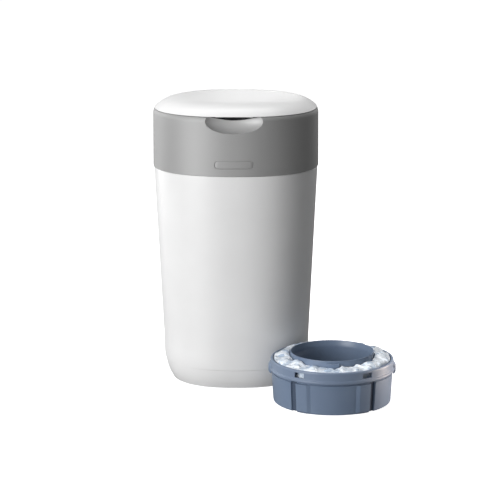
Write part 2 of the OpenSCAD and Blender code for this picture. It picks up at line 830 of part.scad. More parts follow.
// Cassette casing: the cup that stores the film round its open throat
module casing() {
    tube_h = rim_h - 2;
    top_z = band_z + 6;
    pad_end = pad_angle / 2 - 0.5;
    difference() {
        union() {
            rotate_extrude()
                polygon([
                    [throat_in_r, 0],
                    [casing_low_r - 2, 0],
                    [casing_low_r - 0.6, 0.6],
                    [casing_low_r, 2],
                    [casing_top_r, band_z],
                    [casing_top_r, top_z],
                    [casing_top_r - cassette_t, top_z],
                    [casing_low_r - cassette_t, cassette_t],
                    [throat_in_r + cassette_t, cassette_t],
                    [throat_in_r + cassette_t, tube_h],
                    [throat_in_r, tube_h]
                ]);
            for (a = pad_centres())
                rotate([0, 0, a - pad_angle / 2])
                    rotate_extrude(angle = pad_angle)
                        polygon([
                            [casing_low_r - cassette_t / 2, 2],
                            [casing_low_r + pad_proud / 2, 2.6],
                            [casing_top_r + pad_proud, band_z - gap],
                            [casing_top_r - cassette_t / 2, band_z - gap]
                        ]);
        }
        for (a = pad_centres())
            rotate([0, 0, a + (pad_side(a) > 0 ? pad_end : -pad_end - groove_angle)])
                rotate_extrude(angle = groove_angle)
                    polygon([
                        [casing_low_r - 1, -past],
                        [casing_top_r + 3, -past],
                        [casing_top_r + 3, band_z - gap / 2],
                        [casing_top_r - 0.9, band_z - gap / 2]
                    ]);
    }
}

// Pads and windows lie in pairs each side of the front and of the back
function pad_centres() = [
    270 - window_angle + 3, 270 + window_angle - 3,
    90 - window_angle + 3, 90 + window_angle - 3
];
function pad_side(a) = (a > 270 || (a > 90 && a < 180)) ? 1 : -1;
function window_centres() = [
    270 - window_angle, 270 + window_angle,
    90 - window_angle, 90 + window_angle
];

// Cassette band: the snapped-on rim ring with its lip, windows and two lugs
module band() {
    in_r = casing_top_r + 0.3;
    lug_in_r = in_r + 0.5;
    difference() {
        union() {
            rotate_extrude()
                polygon([
                    [in_r, band_z],
                    [band_r - 0.6, band_z],
                    [band_r, band_z + 0.8],
                    [band_r, band_z + 3],
                    [band_r - 0.9, band_z + 4.4],
                    [band_r - 1.2, rim_h - 2.2],
                    [band_r - 1.7, rim_h - 0.7],
                    [band_r - 2.8, rim_h],
                    [band_r - 4.6, rim_h],
                    [band_r - 5.4, rim_h - 1],
                    [in_r - 2.6, rim_h - 2],
                    [in_r, rim_h - 3.4]
                ]);
            for (a = [0, 180])
                rotate([0, 0, a - lug_span() / 2])
                    rotate_extrude(angle = lug_span())
                        polygon([
                            [lug_in_r, band_z - 6],
                            [lug_r - 1.6, band_z - 6],
                            [lug_r - 0.4, band_z - 4.6],
                            [lug_r, band_z - 2],
                            [lug_r, band_z + 5],
                            [lug_r - 1.2, band_z + 8.4],
                            [band_r - 1.6, band_z + 10],
                            [lug_in_r, band_z + 10]
                        ]);
        }
        for (a = window_centres())
            rotate([0, 0, a])
                translate([in_r - 4, -window_w / 2, rim_h - 3.6 - window_h])
                    cube([10, window_w, window_h]);
    }
}

// Cassette collar: the funnel ring over the casing's throat, with its notched flange and front tongue
module inner_collar() {
    out_r = throat_in_r + cassette_t + gap + cassette_t;
    flange_z = rim_h - flange_drop;
    difference() {
        rotate_extrude()
            polygon([
                [throat_in_r + cassette_t + gap, flange_z - collar_lap],
                [out_r, flange_z - collar_lap],
                [out_r, flange_z],
                [out_r + flange_out, flange_z],
                [out_r + flange_out, flange_z + flange_t],
                [out_r, flange_z + flange_t + 0.5],
                [out_r - 0.2, cassette_h - 0.8],
                [out_r - 0.9, cassette_h],
                [throat_in_r + 0.8, cassette_h],
                [throat_in_r, cassette_h - 0.8],
                [throat_in_r, rim_h - 2 + gap],
                [throat_in_r + cassette_t + gap, rim_h - 2 + gap]
            ]);
        for (a = [90:120:330])
            rotate([0, 0, a])
                translate([out_r + 0.6, -notch_w / 2, flange_z - past])
                    cube([2 * flange_out, notch_w, 6]);
    }
    rotate([0, 0, 270])
        translate([out_r - cassette_t / 2, -tongue_w / 2, flange_z + flange_t / 2])
            cube([cassette_t / 2 + flange_t, tongue_w, cassette_h - flange_z - flange_t / 2 - tongue_drop]);
}

// Film: the gathered pack that fills the casing, swells over its rim and heaps against the funnel
module film_pack() {
    in_r = throat_in_r + cassette_t + gap;
    flange_r_in = in_r + cassette_t + flange_out + gap;
    heap_r = in_r + cassette_t + 2.4;
    out_r = casing_top_r - cassette_t - gap - 0.5;
    under_z = rim_h - flange_drop - collar_lap - gap;
    rotate_extrude()
        polygon([
            [in_r, cassette_t + gap],
            [casing_low_r - cassette_t - gap - 0.5, cassette_t + gap],
            [out_r, band_z],
            [out_r, rim_h - 4.5],
            [band_r - 5.9, rim_h - 1.6],
            [band_r - 6.4, rim_h + 0.6],
            [band_r - 9, rim_h + 2.4],
            [band_r - 15, rim_h + film_heap - 0.8],
            [heap_r + 3, rim_h + film_heap],
            [heap_r, rim_h + film_heap - 1.6],
            [heap_r, rim_h - 2.4],
            [flange_r_in, rim_h - 3],
            [flange_r_in, under_z],
            [in_r, under_z]
        ]);
}

module in_head() {
    translate([0, 0, cassette_z])
        children();
}

module beside_tub() {
    translate([refill_x, refill_y, 0])
        children();
}

module cassette_casing() {
    color("#71829b")
        in_head() casing();
}

module cassette_band() {
    color("#7b8ca4")
        in_head() band();
}

module cassette_collar() {
    color("#71829b")
        in_head() inner_collar();
}

module cassette_film() {
    color("#e6edf4")
        in_head() film_pack();
}

module refill_casing() {
    color("#71829b")
        beside_tub() casing();
}

module refill_band() {
    color("#7b8ca4")
        beside_tub() band();
}

module refill_collar() {
    color("#71829b")
        beside_tub() inner_collar();
}

module refill_film() {
    color("#e6edf4")
        beside_tub() film_pack();
}

tub_shell();
foot_pads();
head_hinge_pin();
collar_shell();
collar_liner();
head_base();
base_screws();
lid_hinge_pin();
click_spring();
film_grip();
cutter_track();
cutter_slider();
cutter_blade();
lid_shell();
lid_lining();
lid_seal();
twist_ring();
cassette_casing();
cassette_band();
cassette_collar();
cassette_film();
refill_casing();
refill_band();
refill_collar();
refill_film();
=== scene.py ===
"""Looks of the nappy bin: moulded shells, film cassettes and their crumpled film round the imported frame.

Sizes are in millimetres until a mesh is made. Each shell is a profile of corners in distance from the axis
and height, with rounded corners, carried round the rounded-square or round plan. Eleven nodes are replaced by such
shells: tub, collar, lid and both cassettes. The other fourteen keep their CAD mesh and get a material.
"""

import math

import bpy
import numpy as np
from mathutils import Matrix, Vector


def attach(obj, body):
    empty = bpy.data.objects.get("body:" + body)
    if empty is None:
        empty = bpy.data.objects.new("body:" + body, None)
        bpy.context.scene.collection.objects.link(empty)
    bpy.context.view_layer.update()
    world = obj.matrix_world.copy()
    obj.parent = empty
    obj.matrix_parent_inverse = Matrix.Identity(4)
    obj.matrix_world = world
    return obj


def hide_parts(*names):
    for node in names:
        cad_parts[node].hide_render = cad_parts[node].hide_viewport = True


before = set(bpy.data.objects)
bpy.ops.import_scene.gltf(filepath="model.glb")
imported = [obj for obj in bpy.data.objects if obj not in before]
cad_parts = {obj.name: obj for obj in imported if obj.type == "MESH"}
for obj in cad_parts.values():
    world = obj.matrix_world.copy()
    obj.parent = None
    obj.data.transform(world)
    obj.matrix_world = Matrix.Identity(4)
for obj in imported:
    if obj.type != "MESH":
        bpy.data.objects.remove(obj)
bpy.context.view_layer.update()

# ---------------------------------------------------------------- camera
# Fitted to the collar, tub and lid: focal length in the photograph's pixels, then the camera's turn and its place
PHOTO_WIDTH, FOCAL_PIXELS, SENSOR = 480.0, 1999.0, 36.0
camera = bpy.data.objects.new("camera", bpy.data.cameras.new("camera"))
bpy.context.scene.collection.objects.link(camera)
bpy.context.scene.camera = camera
camera.data.sensor_width = SENSOR
camera.data.lens = SENSOR * FOCAL_PIXELS / PHOTO_WIDTH
camera.data.clip_start = 0.1
camera.data.clip_end = 60.0
camera.matrix_world = Matrix((
    (0.99978852, -0.00154576, 0.02050655, 0.0686260),
    (0.02039341, 0.2029696, -0.97897265, -2.9992206),
    (-0.00264895, 0.97918382, 0.2029582, 0.8293000),
    (0, 0, 0, 1),
))

# ---------------------------------------------------------------- sizes in millimetres
# As in the part's source, but for the scoop's half width, the slot, the label's groove, the lid's crown and the
# grooves' depth, which are finer here
MM = 0.001
PLAN_POWER = 2.3
PLAN_COLUMNS = 432
COLLAR_HALF, COLLAR_TOP_HALF = 125.2, 124.8
COLLAR_Z, GAP_Z, RIM_Z = 327.3, 414.0, 414.7
COLLAR_WALL, SHOULDER_H, SHOULDER_R = 2.4, 7.5, 13.0
LAND_HALF = COLLAR_TOP_HALF - SHOULDER_R + math.sqrt(SHOULDER_R ** 2 - SHOULDER_H ** 2)
LAND_IN, LAND_T = LAND_HALF - 3.9, 3.0
SCOOP_HALF, SCOOP_R, SCOOP_Y, SCOOP_Z, BOWL_T = 45.2, 19.0, -126.8, 409.0, 2.2
SLOT_DEGREES, SLOT_DIP, SLOT_HALF = 17.3, 6.0, 36.4
LABEL_HALF, LABEL_HALF_H, LABEL_CORNER, LABEL_Z = 28.9, 6.3, 4.5, 344.7
LID_WALL, LID_EDGE, LID_CROWN, LID_POWER = 2.2, 15.0, 0.8, 8
TUB_H, TUB_TOP, TUB_LOW, TUB_BASE, TUB_CURVE = 327.0, 124.0, 111.0, 98.7, 58.0
TUB_WALL, FOOT_R, CREASE_TOP, CREASE_H, CREASE_D = 2.4, 1.5, 30.4, 0.9, 0.9
PIN_Y, PIN_Z, PIN_BORE = 128.5, 330.0, 2.05
EAR_X, EAR_W, EAR_R = (-35.9, 19.9), 16, 4.2
PAD_PLACE, PAD_BORE, PAD_DEPTH = 56, 11.15, 1.4
CASSETTE = (0, 0, 335.3)
REFILL = (144.0, -154.0, 0.0)
BAND_Z, CASSETTE_RIM, FUNNEL_TOP = 46.5, 64.0, 74.0
FLANGE_Z = CASSETTE_RIM - 5
# Degrees from the cassette's front or back where a pad's long slope begins and ends, its top drops off, and its
# groove's floor begins and ends
PAD_TURNS = [0, 21.9, 25.4, 36.6, 36.9, 43.3, 43.6, 180]
GROOVE_START, GROOVE_END = PAD_TURNS[4:6]
GROOVE_D = 2.8


# ---------------------------------------------------------------- shapes
def plan_radius(phi):
    """Rounded-square plan of half width 1: (|cos|^n + |sin|^n)^(-1/n) at the polar angle phi."""
    return (np.abs(np.cos(phi)) ** PLAN_POWER + np.abs(np.sin(phi)) ** PLAN_POWER) ** (-1 / PLAN_POWER)


def tub_half(z):
    """Half width of the tub at height z: a straight draft above the base's curve, a power curve below."""
    high = TUB_LOW + (TUB_TOP - TUB_LOW) * (z - TUB_CURVE) / (TUB_H - TUB_CURVE)
    low = TUB_LOW - (TUB_LOW - TUB_BASE) * (np.clip(TUB_CURVE - z, 0, None) / TUB_CURVE) ** 3.3
    return np.where(z >= TUB_CURVE, high, low)


def round_corners(corners, radii, loop=True, steps=4):
    """Polyline of corners (corner, column, 2) with each corner cut by a quadratic curve that starts and ends a
    radius away, and one more point just outside each end, which keeps the flats flat when shaded smooth."""
    corners = np.asarray(corners, float)
    count = len(corners)
    rows = []
    for i, r in enumerate(radii):
        here = corners[i]
        if (not loop and i in (0, count - 1)) or r <= 0:
            rows.append(here)
            continue
        before, after = corners[i - 1] - here, corners[(i + 1) % count] - here
        reach_b = np.linalg.norm(before, axis=-1, keepdims=True) + 1e-9
        reach_a = np.linalg.norm(after, axis=-1, keepdims=True) + 1e-9
        start = here + before / reach_b * np.minimum(r, 0.4 * reach_b)
        end = here + after / reach_a * np.minimum(r, 0.4 * reach_a)
        rows.append(start + before / reach_b * np.minimum(0.5 * r, 0.08 * reach_b))
        rows += [(1 - s) ** 2 * start + 2 * s * (1 - s) * here + s * s * end for s in np.linspace(0, 1, steps + 1)]
        rows.append(end + after / reach_a * np.minimum(0.5 * r, 0.08 * reach_a))
    return np.stack(rows)


def spread(corners, columns):
    """The same corners (corner, 2) at every column."""
    return np.repeat(np.asarray(corners, float)[:, None, :], columns, 1)


def around(profile, phi, plan=True, at=(0, 0, 0)):
    """Points of a profile (row, column, 2) carried round the axis: distance times the plan's radius, at the polar
    angle of each column, then moved to a place."""
    reach = profile[..., 0] * (plan_radius(phi) if plan else 1)
    return np.stack([reach * np.cos(phi) + at[0], reach * np.sin(phi) + at[1], profile[..., 1] + at[2]], -1)


def join(name, points, faces, sharp=32):
    """Mesh of points in millimetres and faces of one size each, turned outwards by the sign of its volume."""
    signed = sum(
        (points[f].mean(1) * np.cross(points[f[:, 2]] - points[f[:, 0]], points[f[:, -1]] - points[f[:, 1]])).sum()
        for f in faces if len(f)
    )
    faces = [f if signed > 0 else f[:, ::-1] for f in faces if len(f)]
    mesh = bpy.data.meshes.new(name)
    sizes = np.concatenate([np.full(len(f), f.shape[1]) for f in faces])
    mesh.vertices.add(len(points))
    mesh.vertices.foreach_set("co", (points * MM).astype(np.float32).ravel())
    mesh.loops.add(int(sizes.sum()))
    mesh.loops.foreach_set("vertex_index", np.concatenate([f.ravel() for f in faces]).astype(np.int32))
    mesh.polygons.add(len(sizes))
    mesh.polygons.foreach_set("loop_start", np.concatenate([[0], np.cumsum(sizes)[:-1]]).astype(np.int32))
    mesh.update(calc_edges=True)
    mesh.shade_smooth()
    mesh.set_sharp_from_angle(angle=math.radians(sharp))
    piece = bpy.data.objects.new(name, mesh)
    bpy.context.scene.collection.objects.link(piece)
    return piece


def skin(name, grid, loop=True, ring=True, sharp=32):
    """Closed mesh over a grid (row, column). Columns close round the axis if ring. Rows close on themselves if
    loop, and otherwise end in a pole. Without ring, the first and last columns are capped with a pole each."""
    rows, columns = grid.shape[:2]
    points = grid.reshape(-1, 3)
    index = np.arange(rows * columns).reshape(rows, columns)
    right = np.roll(index, -1, 1) if ring else index[:, 1:]
    left = index if ring else index[:, :-1]
    up_l, up_r = np.roll(left, -1, 0), np.roll(right, -1, 0)
    keep = slice(None) if loop else slice(0, rows - 1)
    quads = np.stack([left[keep], right[keep], up_r[keep], up_l[keep]], -1).reshape(-1, 4)
    fans = []
    if not loop:
        for row, turn in ((0, -1), (rows - 1, 1)):
            pole = np.full(columns, len(points))
            points = np.vstack([points, grid[row].mean(0)])
            fans.append(np.stack([index[row], np.roll(index[row], -1), pole], -1)[:, ::turn])
    if not ring:
        for column, turn in ((0, 1), (columns - 1, -1)):
            pole = np.full(rows, len(points))
            points = np.vstack([points, grid[:, column].mean(0)])
            fans.append(np.stack([index[:, column], np.roll(index[:, column], -1), pole], -1)[:, ::turn])
    return join(name, points, [quads, *fans] if fans else [quads], sharp)


def drum(name, place, axis, radius, length, sides=64, edge=0.01):
    """Round bar for cutting: a profile that ends in two poles, turned to lie along axis 0, 1 or 2."""
    phi = np.linspace(0, 2 * np.pi, sides, endpoint=False)
    corners = spread([(0.02, 0), (radius, 0), (radius, length), (0.02, length)], sides)
    grid = around(round_corners(corners, (0, edge, edge, 0), loop=False), phi, plan=False)
    return skin(name, np.roll(grid, axis + 1, -1) + np.array(place, float), loop=False)


def block(name, low, high, turn=0.0, at=(0, 0, 0)):
    """Plain box for cutting, between two corners, turned by an angle in degrees about the upright axis of a place."""
    x, y, z = np.array([(x, y, z) for x in (low[0], high[0]) for y in (low[1], high[1]) for z in (low[2], high[2])]).T
    c, s = math.cos(math.radians(turn)), math.sin(math.radians(turn))
    faces = np.array([[0, 1, 3, 2], [4, 6, 7, 5], [0, 4, 5, 1], [2, 3, 7, 6], [0, 2, 6, 4], [1, 5, 7, 3]])
    return join(name, np.stack([x * c - y * s, x * s + y * c, z], -1) + np.array(at, float), [faces])


def merge(name, pieces):
    """One mesh out of several that don't touch."""
    points, quads, tris, start = [], [], [], 0
    for piece in pieces:
        mesh = piece.data
        co = np.empty(len(mesh.vertices) * 3)
        mesh.vertices.foreach_get("co", co)
        points.append(co.reshape(-1, 3) / MM)
        for p in mesh.polygons:
            (quads if len(p.vertices) == 4 else tris).append([v + start for v in p.vertices])
        start += len(mesh.vertices)
        bpy.data.objects.remove(piece)
    return join(name, np.vstack(points), [np.array(f) for f in (quads, tris) if f])


def carve(piece, tool, how="DIFFERENCE", sharp=32):
    """Boolean of two closed meshes, applied at once."""
    change = piece.modifiers.new(how.lower(), "BOOLEAN")
    change.object, change.operation, change.solver = tool, how, "EXACT"
    graph = bpy.context.evaluated_depsgraph_get()
    made = bpy.data.meshes.new_from_object(piece.evaluated_get(graph))
    piece.modifiers.clear()
    piece.data = made
    bpy.data.objects.remove(tool)
    made.shade_smooth()
    made.set_sharp_from_angle(angle=math.radians(sharp))
    return piece


def dress(piece, material, body, node):
    """Gives a piece its material, its body and the CAD node it stands for."""
    piece.data.materials.clear()
    piece.data.materials.append(material)
    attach(piece, body)
    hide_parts(node)


# ---------------------------------------------------------------- materials
GRAIN_SHOWN = 10  # how many times deeper than real the grain is drawn, so that it shows at this distance


def linear(code):
    """sRGB hex to the linear colour that a shader takes."""
    value = np.array([int(code[i:i + 2], 16) for i in (1, 3, 5)]) / 255
    value = np.where(value <= 0.04045, value / 12.92, ((value + 0.055) / 1.055) ** 2.4)
    return (*value, 1.0)


def add(tree, kind, inputs=(), stops=(), **settings):
    """Adds a node, makes its settings and its ramp's (place, hex) stops, and fills its sockets with values or
    links."""
    node = tree.nodes.new(kind)
    for key, value in settings.items():
        setattr(node, key, value)
    for place, _ in stops[1:-1]:
        node.color_ramp.elements.new(place)
    for element, (place, code) in zip(node.color_ramp.elements if stops else (), stops):
        element.position, element.color = place, linear(code)
    for key, value in dict(inputs).items():
        if isinstance(value, bpy.types.NodeSocket):
            tree.links.new(value, node.inputs[key])
        else:
            node.inputs[key].default_value = value
    return node


def blank_material(name):
    """New material with an empty tree, and the place on the piece in its own metres."""
    material = bpy.data.materials.new(name)
    material.use_nodes = True
    material.node_tree.nodes.clear()
    return material, material.node_tree, add(material.node_tree, "ShaderNodeTexCoord").outputs["Object"]


def moulded(name, dark, light, rough, grain, grain_depth=0.02, wave=0.0, scuffs=0.0, sheen=0.0, specular=0.5,
            metallic=0.0):
    """Moulded plastic: clouds of colour and gloss 70 mm wide, a spark-eroded grain whose size and depth are given
    in millimetres, a waviness 60 mm long where the wall has sunk, and fine handling scuffs, 2.4 mm wide and eight
    times as tall, that change only the gloss."""
    material, tree, where = blank_material(name)
    cloud = add(tree, "ShaderNodeTexNoise", {"Vector": where, "Scale": 14.0, "Detail": 3.0, "Roughness": 0.5})
    colour = add(tree, "ShaderNodeValToRGB", {"Fac": cloud.outputs["Fac"]}, stops=[(0.3, dark), (0.7, light)])
    fine = add(tree, "ShaderNodeTexNoise", {"Vector": where, "Scale": 1000 / grain, "Detail": 2.0, "Roughness": 0.6})
    slow = add(tree, "ShaderNodeTexNoise", {"Vector": where, "Scale": 16.0, "Detail": 1.0})
    gloss = add(tree, "ShaderNodeMapRange", {"Value": cloud.outputs["Fac"], "From Min": 0.3, "From Max": 0.7,
                                              "To Min": rough[0], "To Max": rough[1]})
    gloss_out = gloss.outputs["Result"]
    if scuffs:
        stretched = add(tree, "ShaderNodeMapping", {"Vector": where, "Scale": (1.0, 1.0, 0.12)})
        marks = add(tree, "ShaderNodeTexNoise", {"Vector": stretched.outputs["Vector"], "Scale": 420.0, "Detail": 4.0,
                                                 "Roughness": 0.75})
        thin = add(tree, "ShaderNodeMapRange", {"Value": marks.outputs["Fac"], "From Min": 0.62, "From Max": 0.74,
                                                "To Min": 0.0, "To Max": scuffs})
        gloss_out = add(tree, "ShaderNodeMath", {0: gloss_out, 1: thin.outputs["Result"]}, operation="ADD").outputs[0]
    bump = add(tree, "ShaderNodeBump", {"Height": fine.outputs["Fac"], "Strength": 0.35,
                                        "Distance": grain_depth * MM * GRAIN_SHOWN})
    normal = bump.outputs["Normal"]
    if wave:
        normal = add(tree, "ShaderNodeBump", {"Height": slow.outputs["Fac"], "Strength": 1.0, "Distance": wave * MM,
                                              "Normal": normal}).outputs["Normal"]
    shader = add(tree, "ShaderNodeBsdfPrincipled", {"Base Color": colour.outputs["Color"], "Roughness": gloss_out,
                                                    "IOR": 1.49, "Normal": normal, "Sheen Weight": sheen,
                                                    "Specular IOR Level": specular, "Metallic": metallic})
    add(tree, "ShaderNodeOutputMaterial", {"Surface": shader.outputs["BSDF"]})
    return material


def crumpled_film(name):
    """Polyethylene film, blown and gathered: facets 8 mm wide, bent by a noise of 11 mm, each bright or bluish all
    over, with a crease along its edges."""
    material, tree, where = blank_material(name)
    bent = add(tree, "ShaderNodeTexNoise", {"Vector": where, "Scale": 90.0, "Detail": 3.0, "Roughness": 0.6})
    shift = add(tree, "ShaderNodeMapping", {"Vector": bent.outputs["Color"], "Scale": (0.012, 0.012, 0.012)})
    moved = add(tree, "ShaderNodeVectorMath", {0: where, 1: shift.outputs["Vector"]}, operation="ADD")
    cells = {"Vector": moved.outputs["Vector"], "Scale": 120.0}
    facets = add(tree, "ShaderNodeTexVoronoi", cells)
    edges = add(tree, "ShaderNodeTexVoronoi", cells, feature="DISTANCE_TO_EDGE")
    layers = add(tree, "ShaderNodeSeparateColor", {"Color": facets.outputs["Color"]})
    colour = add(tree, "ShaderNodeValToRGB", {"Fac": layers.outputs["Red"]},
                 stops=[(0.1, "#B2C4DA"), (0.35, "#D8E4F1"), (0.7, "#F1F7FE")])
    bump = add(tree, "ShaderNodeBump", {"Height": edges.outputs["Distance"], "Strength": 0.7, "Distance": 1.8 * MM})
    shader = add(tree, "ShaderNodeBsdfPrincipled", {"Base Color": colour.outputs["Color"], "Roughness": 0.24,
                                                    "IOR": 1.5, "Normal": bump.outputs["Normal"],
                                                    "Coat Weight": 0.5, "Coat Roughness": 0.1})
    add(tree, "ShaderNodeOutputMaterial", {"Surface": shader.outputs["BSDF"]})
    return material


def drawn_steel(name, dark, light, rough):
    """Drawn or ground steel: fine lines along the piece, 0.3 mm apart, in both colour and gloss."""
    material, tree, where = blank_material(name)
    drawn = add(tree, "ShaderNodeMapping", {"Vector": where, "Scale": (0.04, 1.0, 1.0)})
    lines = add(tree, "ShaderNodeTexNoise", {"Vector": drawn.outputs["Vector"], "Scale": 3200.0, "Detail": 3.0})
    colour = add(tree, "ShaderNodeValToRGB", {"Fac": lines.outputs["Fac"]}, stops=[(0.3, dark), (0.7, light)])
    gloss = add(tree, "ShaderNodeMapRange", {"Value": lines.outputs["Fac"], "To Min": rough - 0.08,
                                              "To Max": rough + 0.12})
    bump = add(tree, "ShaderNodeBump", {"Height": lines.outputs["Fac"], "Strength": 0.3, "Distance": 0.03 * MM})
    shader = add(tree, "ShaderNodeBsdfPrincipled", {"Base Color": colour.outputs["Color"], "Metallic": 1.0,
                                                    "Roughness": gloss.outputs["Result"],
                                                    "Normal": bump.outputs["Normal"]})
    add(tree, "ShaderNodeOutputMaterial", {"Surface": shader.outputs["BSDF"]})
    return material


# Polypropylene of the tub: white and moulded, with the low gloss that spreads a soft box into one broad light.
tub_white = moulded("tub_white_moulded_polypropylene", "#E6E6E6", "#EAEAEA", rough=(0.36, 0.43), grain=1.2,
                    grain_depth=0.003, wave=0.04, scuffs=0.10)
# The lid is the same plastic from a polished tool: smoother and weak in its reflections. Its colour is a shade
# darker than the tub's: painted shade that holds its brightly lit top down to the tub's white.
lid_white = moulded("lid_white_polished_painted_shade", "#DADADA", "#DEDEDE", rough=(0.30, 0.34), grain=1.2,
                    grain_depth=0.0005, specular=0.15)
# Grey polypropylene of the collar: a spark-eroded satin that hides fingerprints. Half metallic, because the real
# one turns darker across its front than plain grey does under the lamps that suit the tub.
collar_grey = moulded("collar_grey_satin_polypropylene", "#A5A5A5", "#A9A9A9", rough=(0.62, 0.66), grain=0.9,
                      grain_depth=0.004, wave=0.02, metallic=0.5)
# The finger scoop, smoother than the satin wall round it, and paler: painted light that lifts the bowl, which
# the lid's edge shades.
scoop_grey = moulded("scoop_grey_smooth_painted_light", "#B6B6B6", "#BABABA", rough=(0.5, 0.56), grain=0.9,
                     grain_depth=0.003, metallic=0.2)
# Painted shade on the shelf and low wall of the slot behind the scoop: dull and nearly black, so the slot
# reads as a dark lens.
slot_black = moulded("slot_black_painted_shade", "#1E1F21", "#242527", rough=(0.8, 0.9), grain=0.9)
# Liner, base plate and track: light grey polypropylene from an eroded tool, a plain satin.
liner_grey = moulded("liner_grey_satin_polypropylene", "#BFC0C0", "#C6C7C7", rough=(0.42, 0.5), grain=0.9,
                     grain_depth=0.025, scuffs=0.05)
# The lid's inner plate: the tub's white plastic with the liner's satin.
lining_white = moulded("lining_white_satin_polypropylene", "#E4E5E5", "#EBECEC", rough=(0.4, 0.48), grain=0.9,
                       grain_depth=0.02, scuffs=0.05)
# Cassette plastic: blue-grey polypropylene, often recycled, so its colour clouds a little more.
cassette_blue = moulded("cassette_blue_grey_polypropylene", "#697991", "#728299", rough=(0.34, 0.42), grain=1.0,
                        grain_depth=0.008, wave=0.03, scuffs=0.10)
# The same plastic in the grooves' floors: matt, and darker than the wall as painted shade for the grooves' depth.
groove_blue = moulded("groove_blue_grey_matt_painted_shade", "#3D4A5D", "#435064", rough=(0.6, 0.7),
                      grain=0.7, grain_depth=0.03)
# The band is moulded apart from the casing: a shade paler and less glossy, so it reads as a piece snapped on.
band_blue = moulded("band_blue_grey_polypropylene", "#707F97", "#7A899F", rough=(0.40, 0.48), grain=1.0,
                    grain_depth=0.008, wave=0.03, scuffs=0.10)
# Acetal of the twist ring and its click spring: dense and a little waxy, with a soft even gloss.
ring_blue = moulded("ring_blue_grey_acetal", "#8C98A7", "#96A1B0", rough=(0.38, 0.46), grain=0.9, grain_depth=0.02,
                    scuffs=0.08)
spring_acetal = moulded("spring_grey_acetal", "#83888C", "#8E9397", rough=(0.3, 0.38), grain=0.8, grain_depth=0.012)
# Moulded elastomer of the film grip and the lid's seal: matt, with a faint bloom where it turns away.
soft_grey = moulded("soft_grey_moulded_elastomer", "#5F656C", "#6A7077", rough=(0.62, 0.72), grain=0.7,
                    grain_depth=0.03, sheen=0.15)
# Moulded rubber of the foot pads: dark, matt and coarse, with the same bloom but fainter.
pad_rubber = moulded("pad_dark_moulded_rubber", "#4F5154", "#5A5C5F", rough=(0.66, 0.76), grain=0.9, grain_depth=0.04,
                     sheen=0.1)
# Gathered film: small sharp lights on a milky blue-white, unlike any moulded piece.
film = crumpled_film("film_gathered_polyethylene")
# Drawn steel of the pins, zinc-plated steel of the screws, which is duller, and ground steel of the blade, the
# brightest: all three show their working lines in the gloss.
pin_steel = drawn_steel("pin_drawn_steel", "#B9BCC0", "#D6D8DA", rough=0.28)
screw_zinc = drawn_steel("screw_zinc_plated_steel", "#92969B", "#B4B7BB", rough=0.36)
blade_steel = drawn_steel("blade_ground_steel", "#C4C7CA", "#E2E4E6", rough=0.2)

FINISH = {
    "foot_pads": pad_rubber, "head_hinge_pin": pin_steel, "lid_hinge_pin": pin_steel, "base_screws": screw_zinc,
    "collar_liner": liner_grey, "head_base": liner_grey, "cutter_track": liner_grey, "click_spring": spring_acetal,
    "film_grip": soft_grey, "lid_seal": soft_grey, "cutter_slider": cassette_blue, "cutter_blade": blade_steel,
    "lid_lining": lining_white, "twist_ring": ring_blue, "tub_shell": tub_white, "collar_shell": collar_grey,
    "lid_shell": lid_white, "cassette_casing": cassette_blue, "cassette_band": band_blue,
    "cassette_collar": cassette_blue, "cassette_film": film, "refill_casing": cassette_blue, "refill_band": band_blue,
    "refill_collar": cassette_blue, "refill_film": film,
}
for node, material in FINISH.items():
    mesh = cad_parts[node].data
    mesh.materials.clear()
    mesh.materials.append(material)


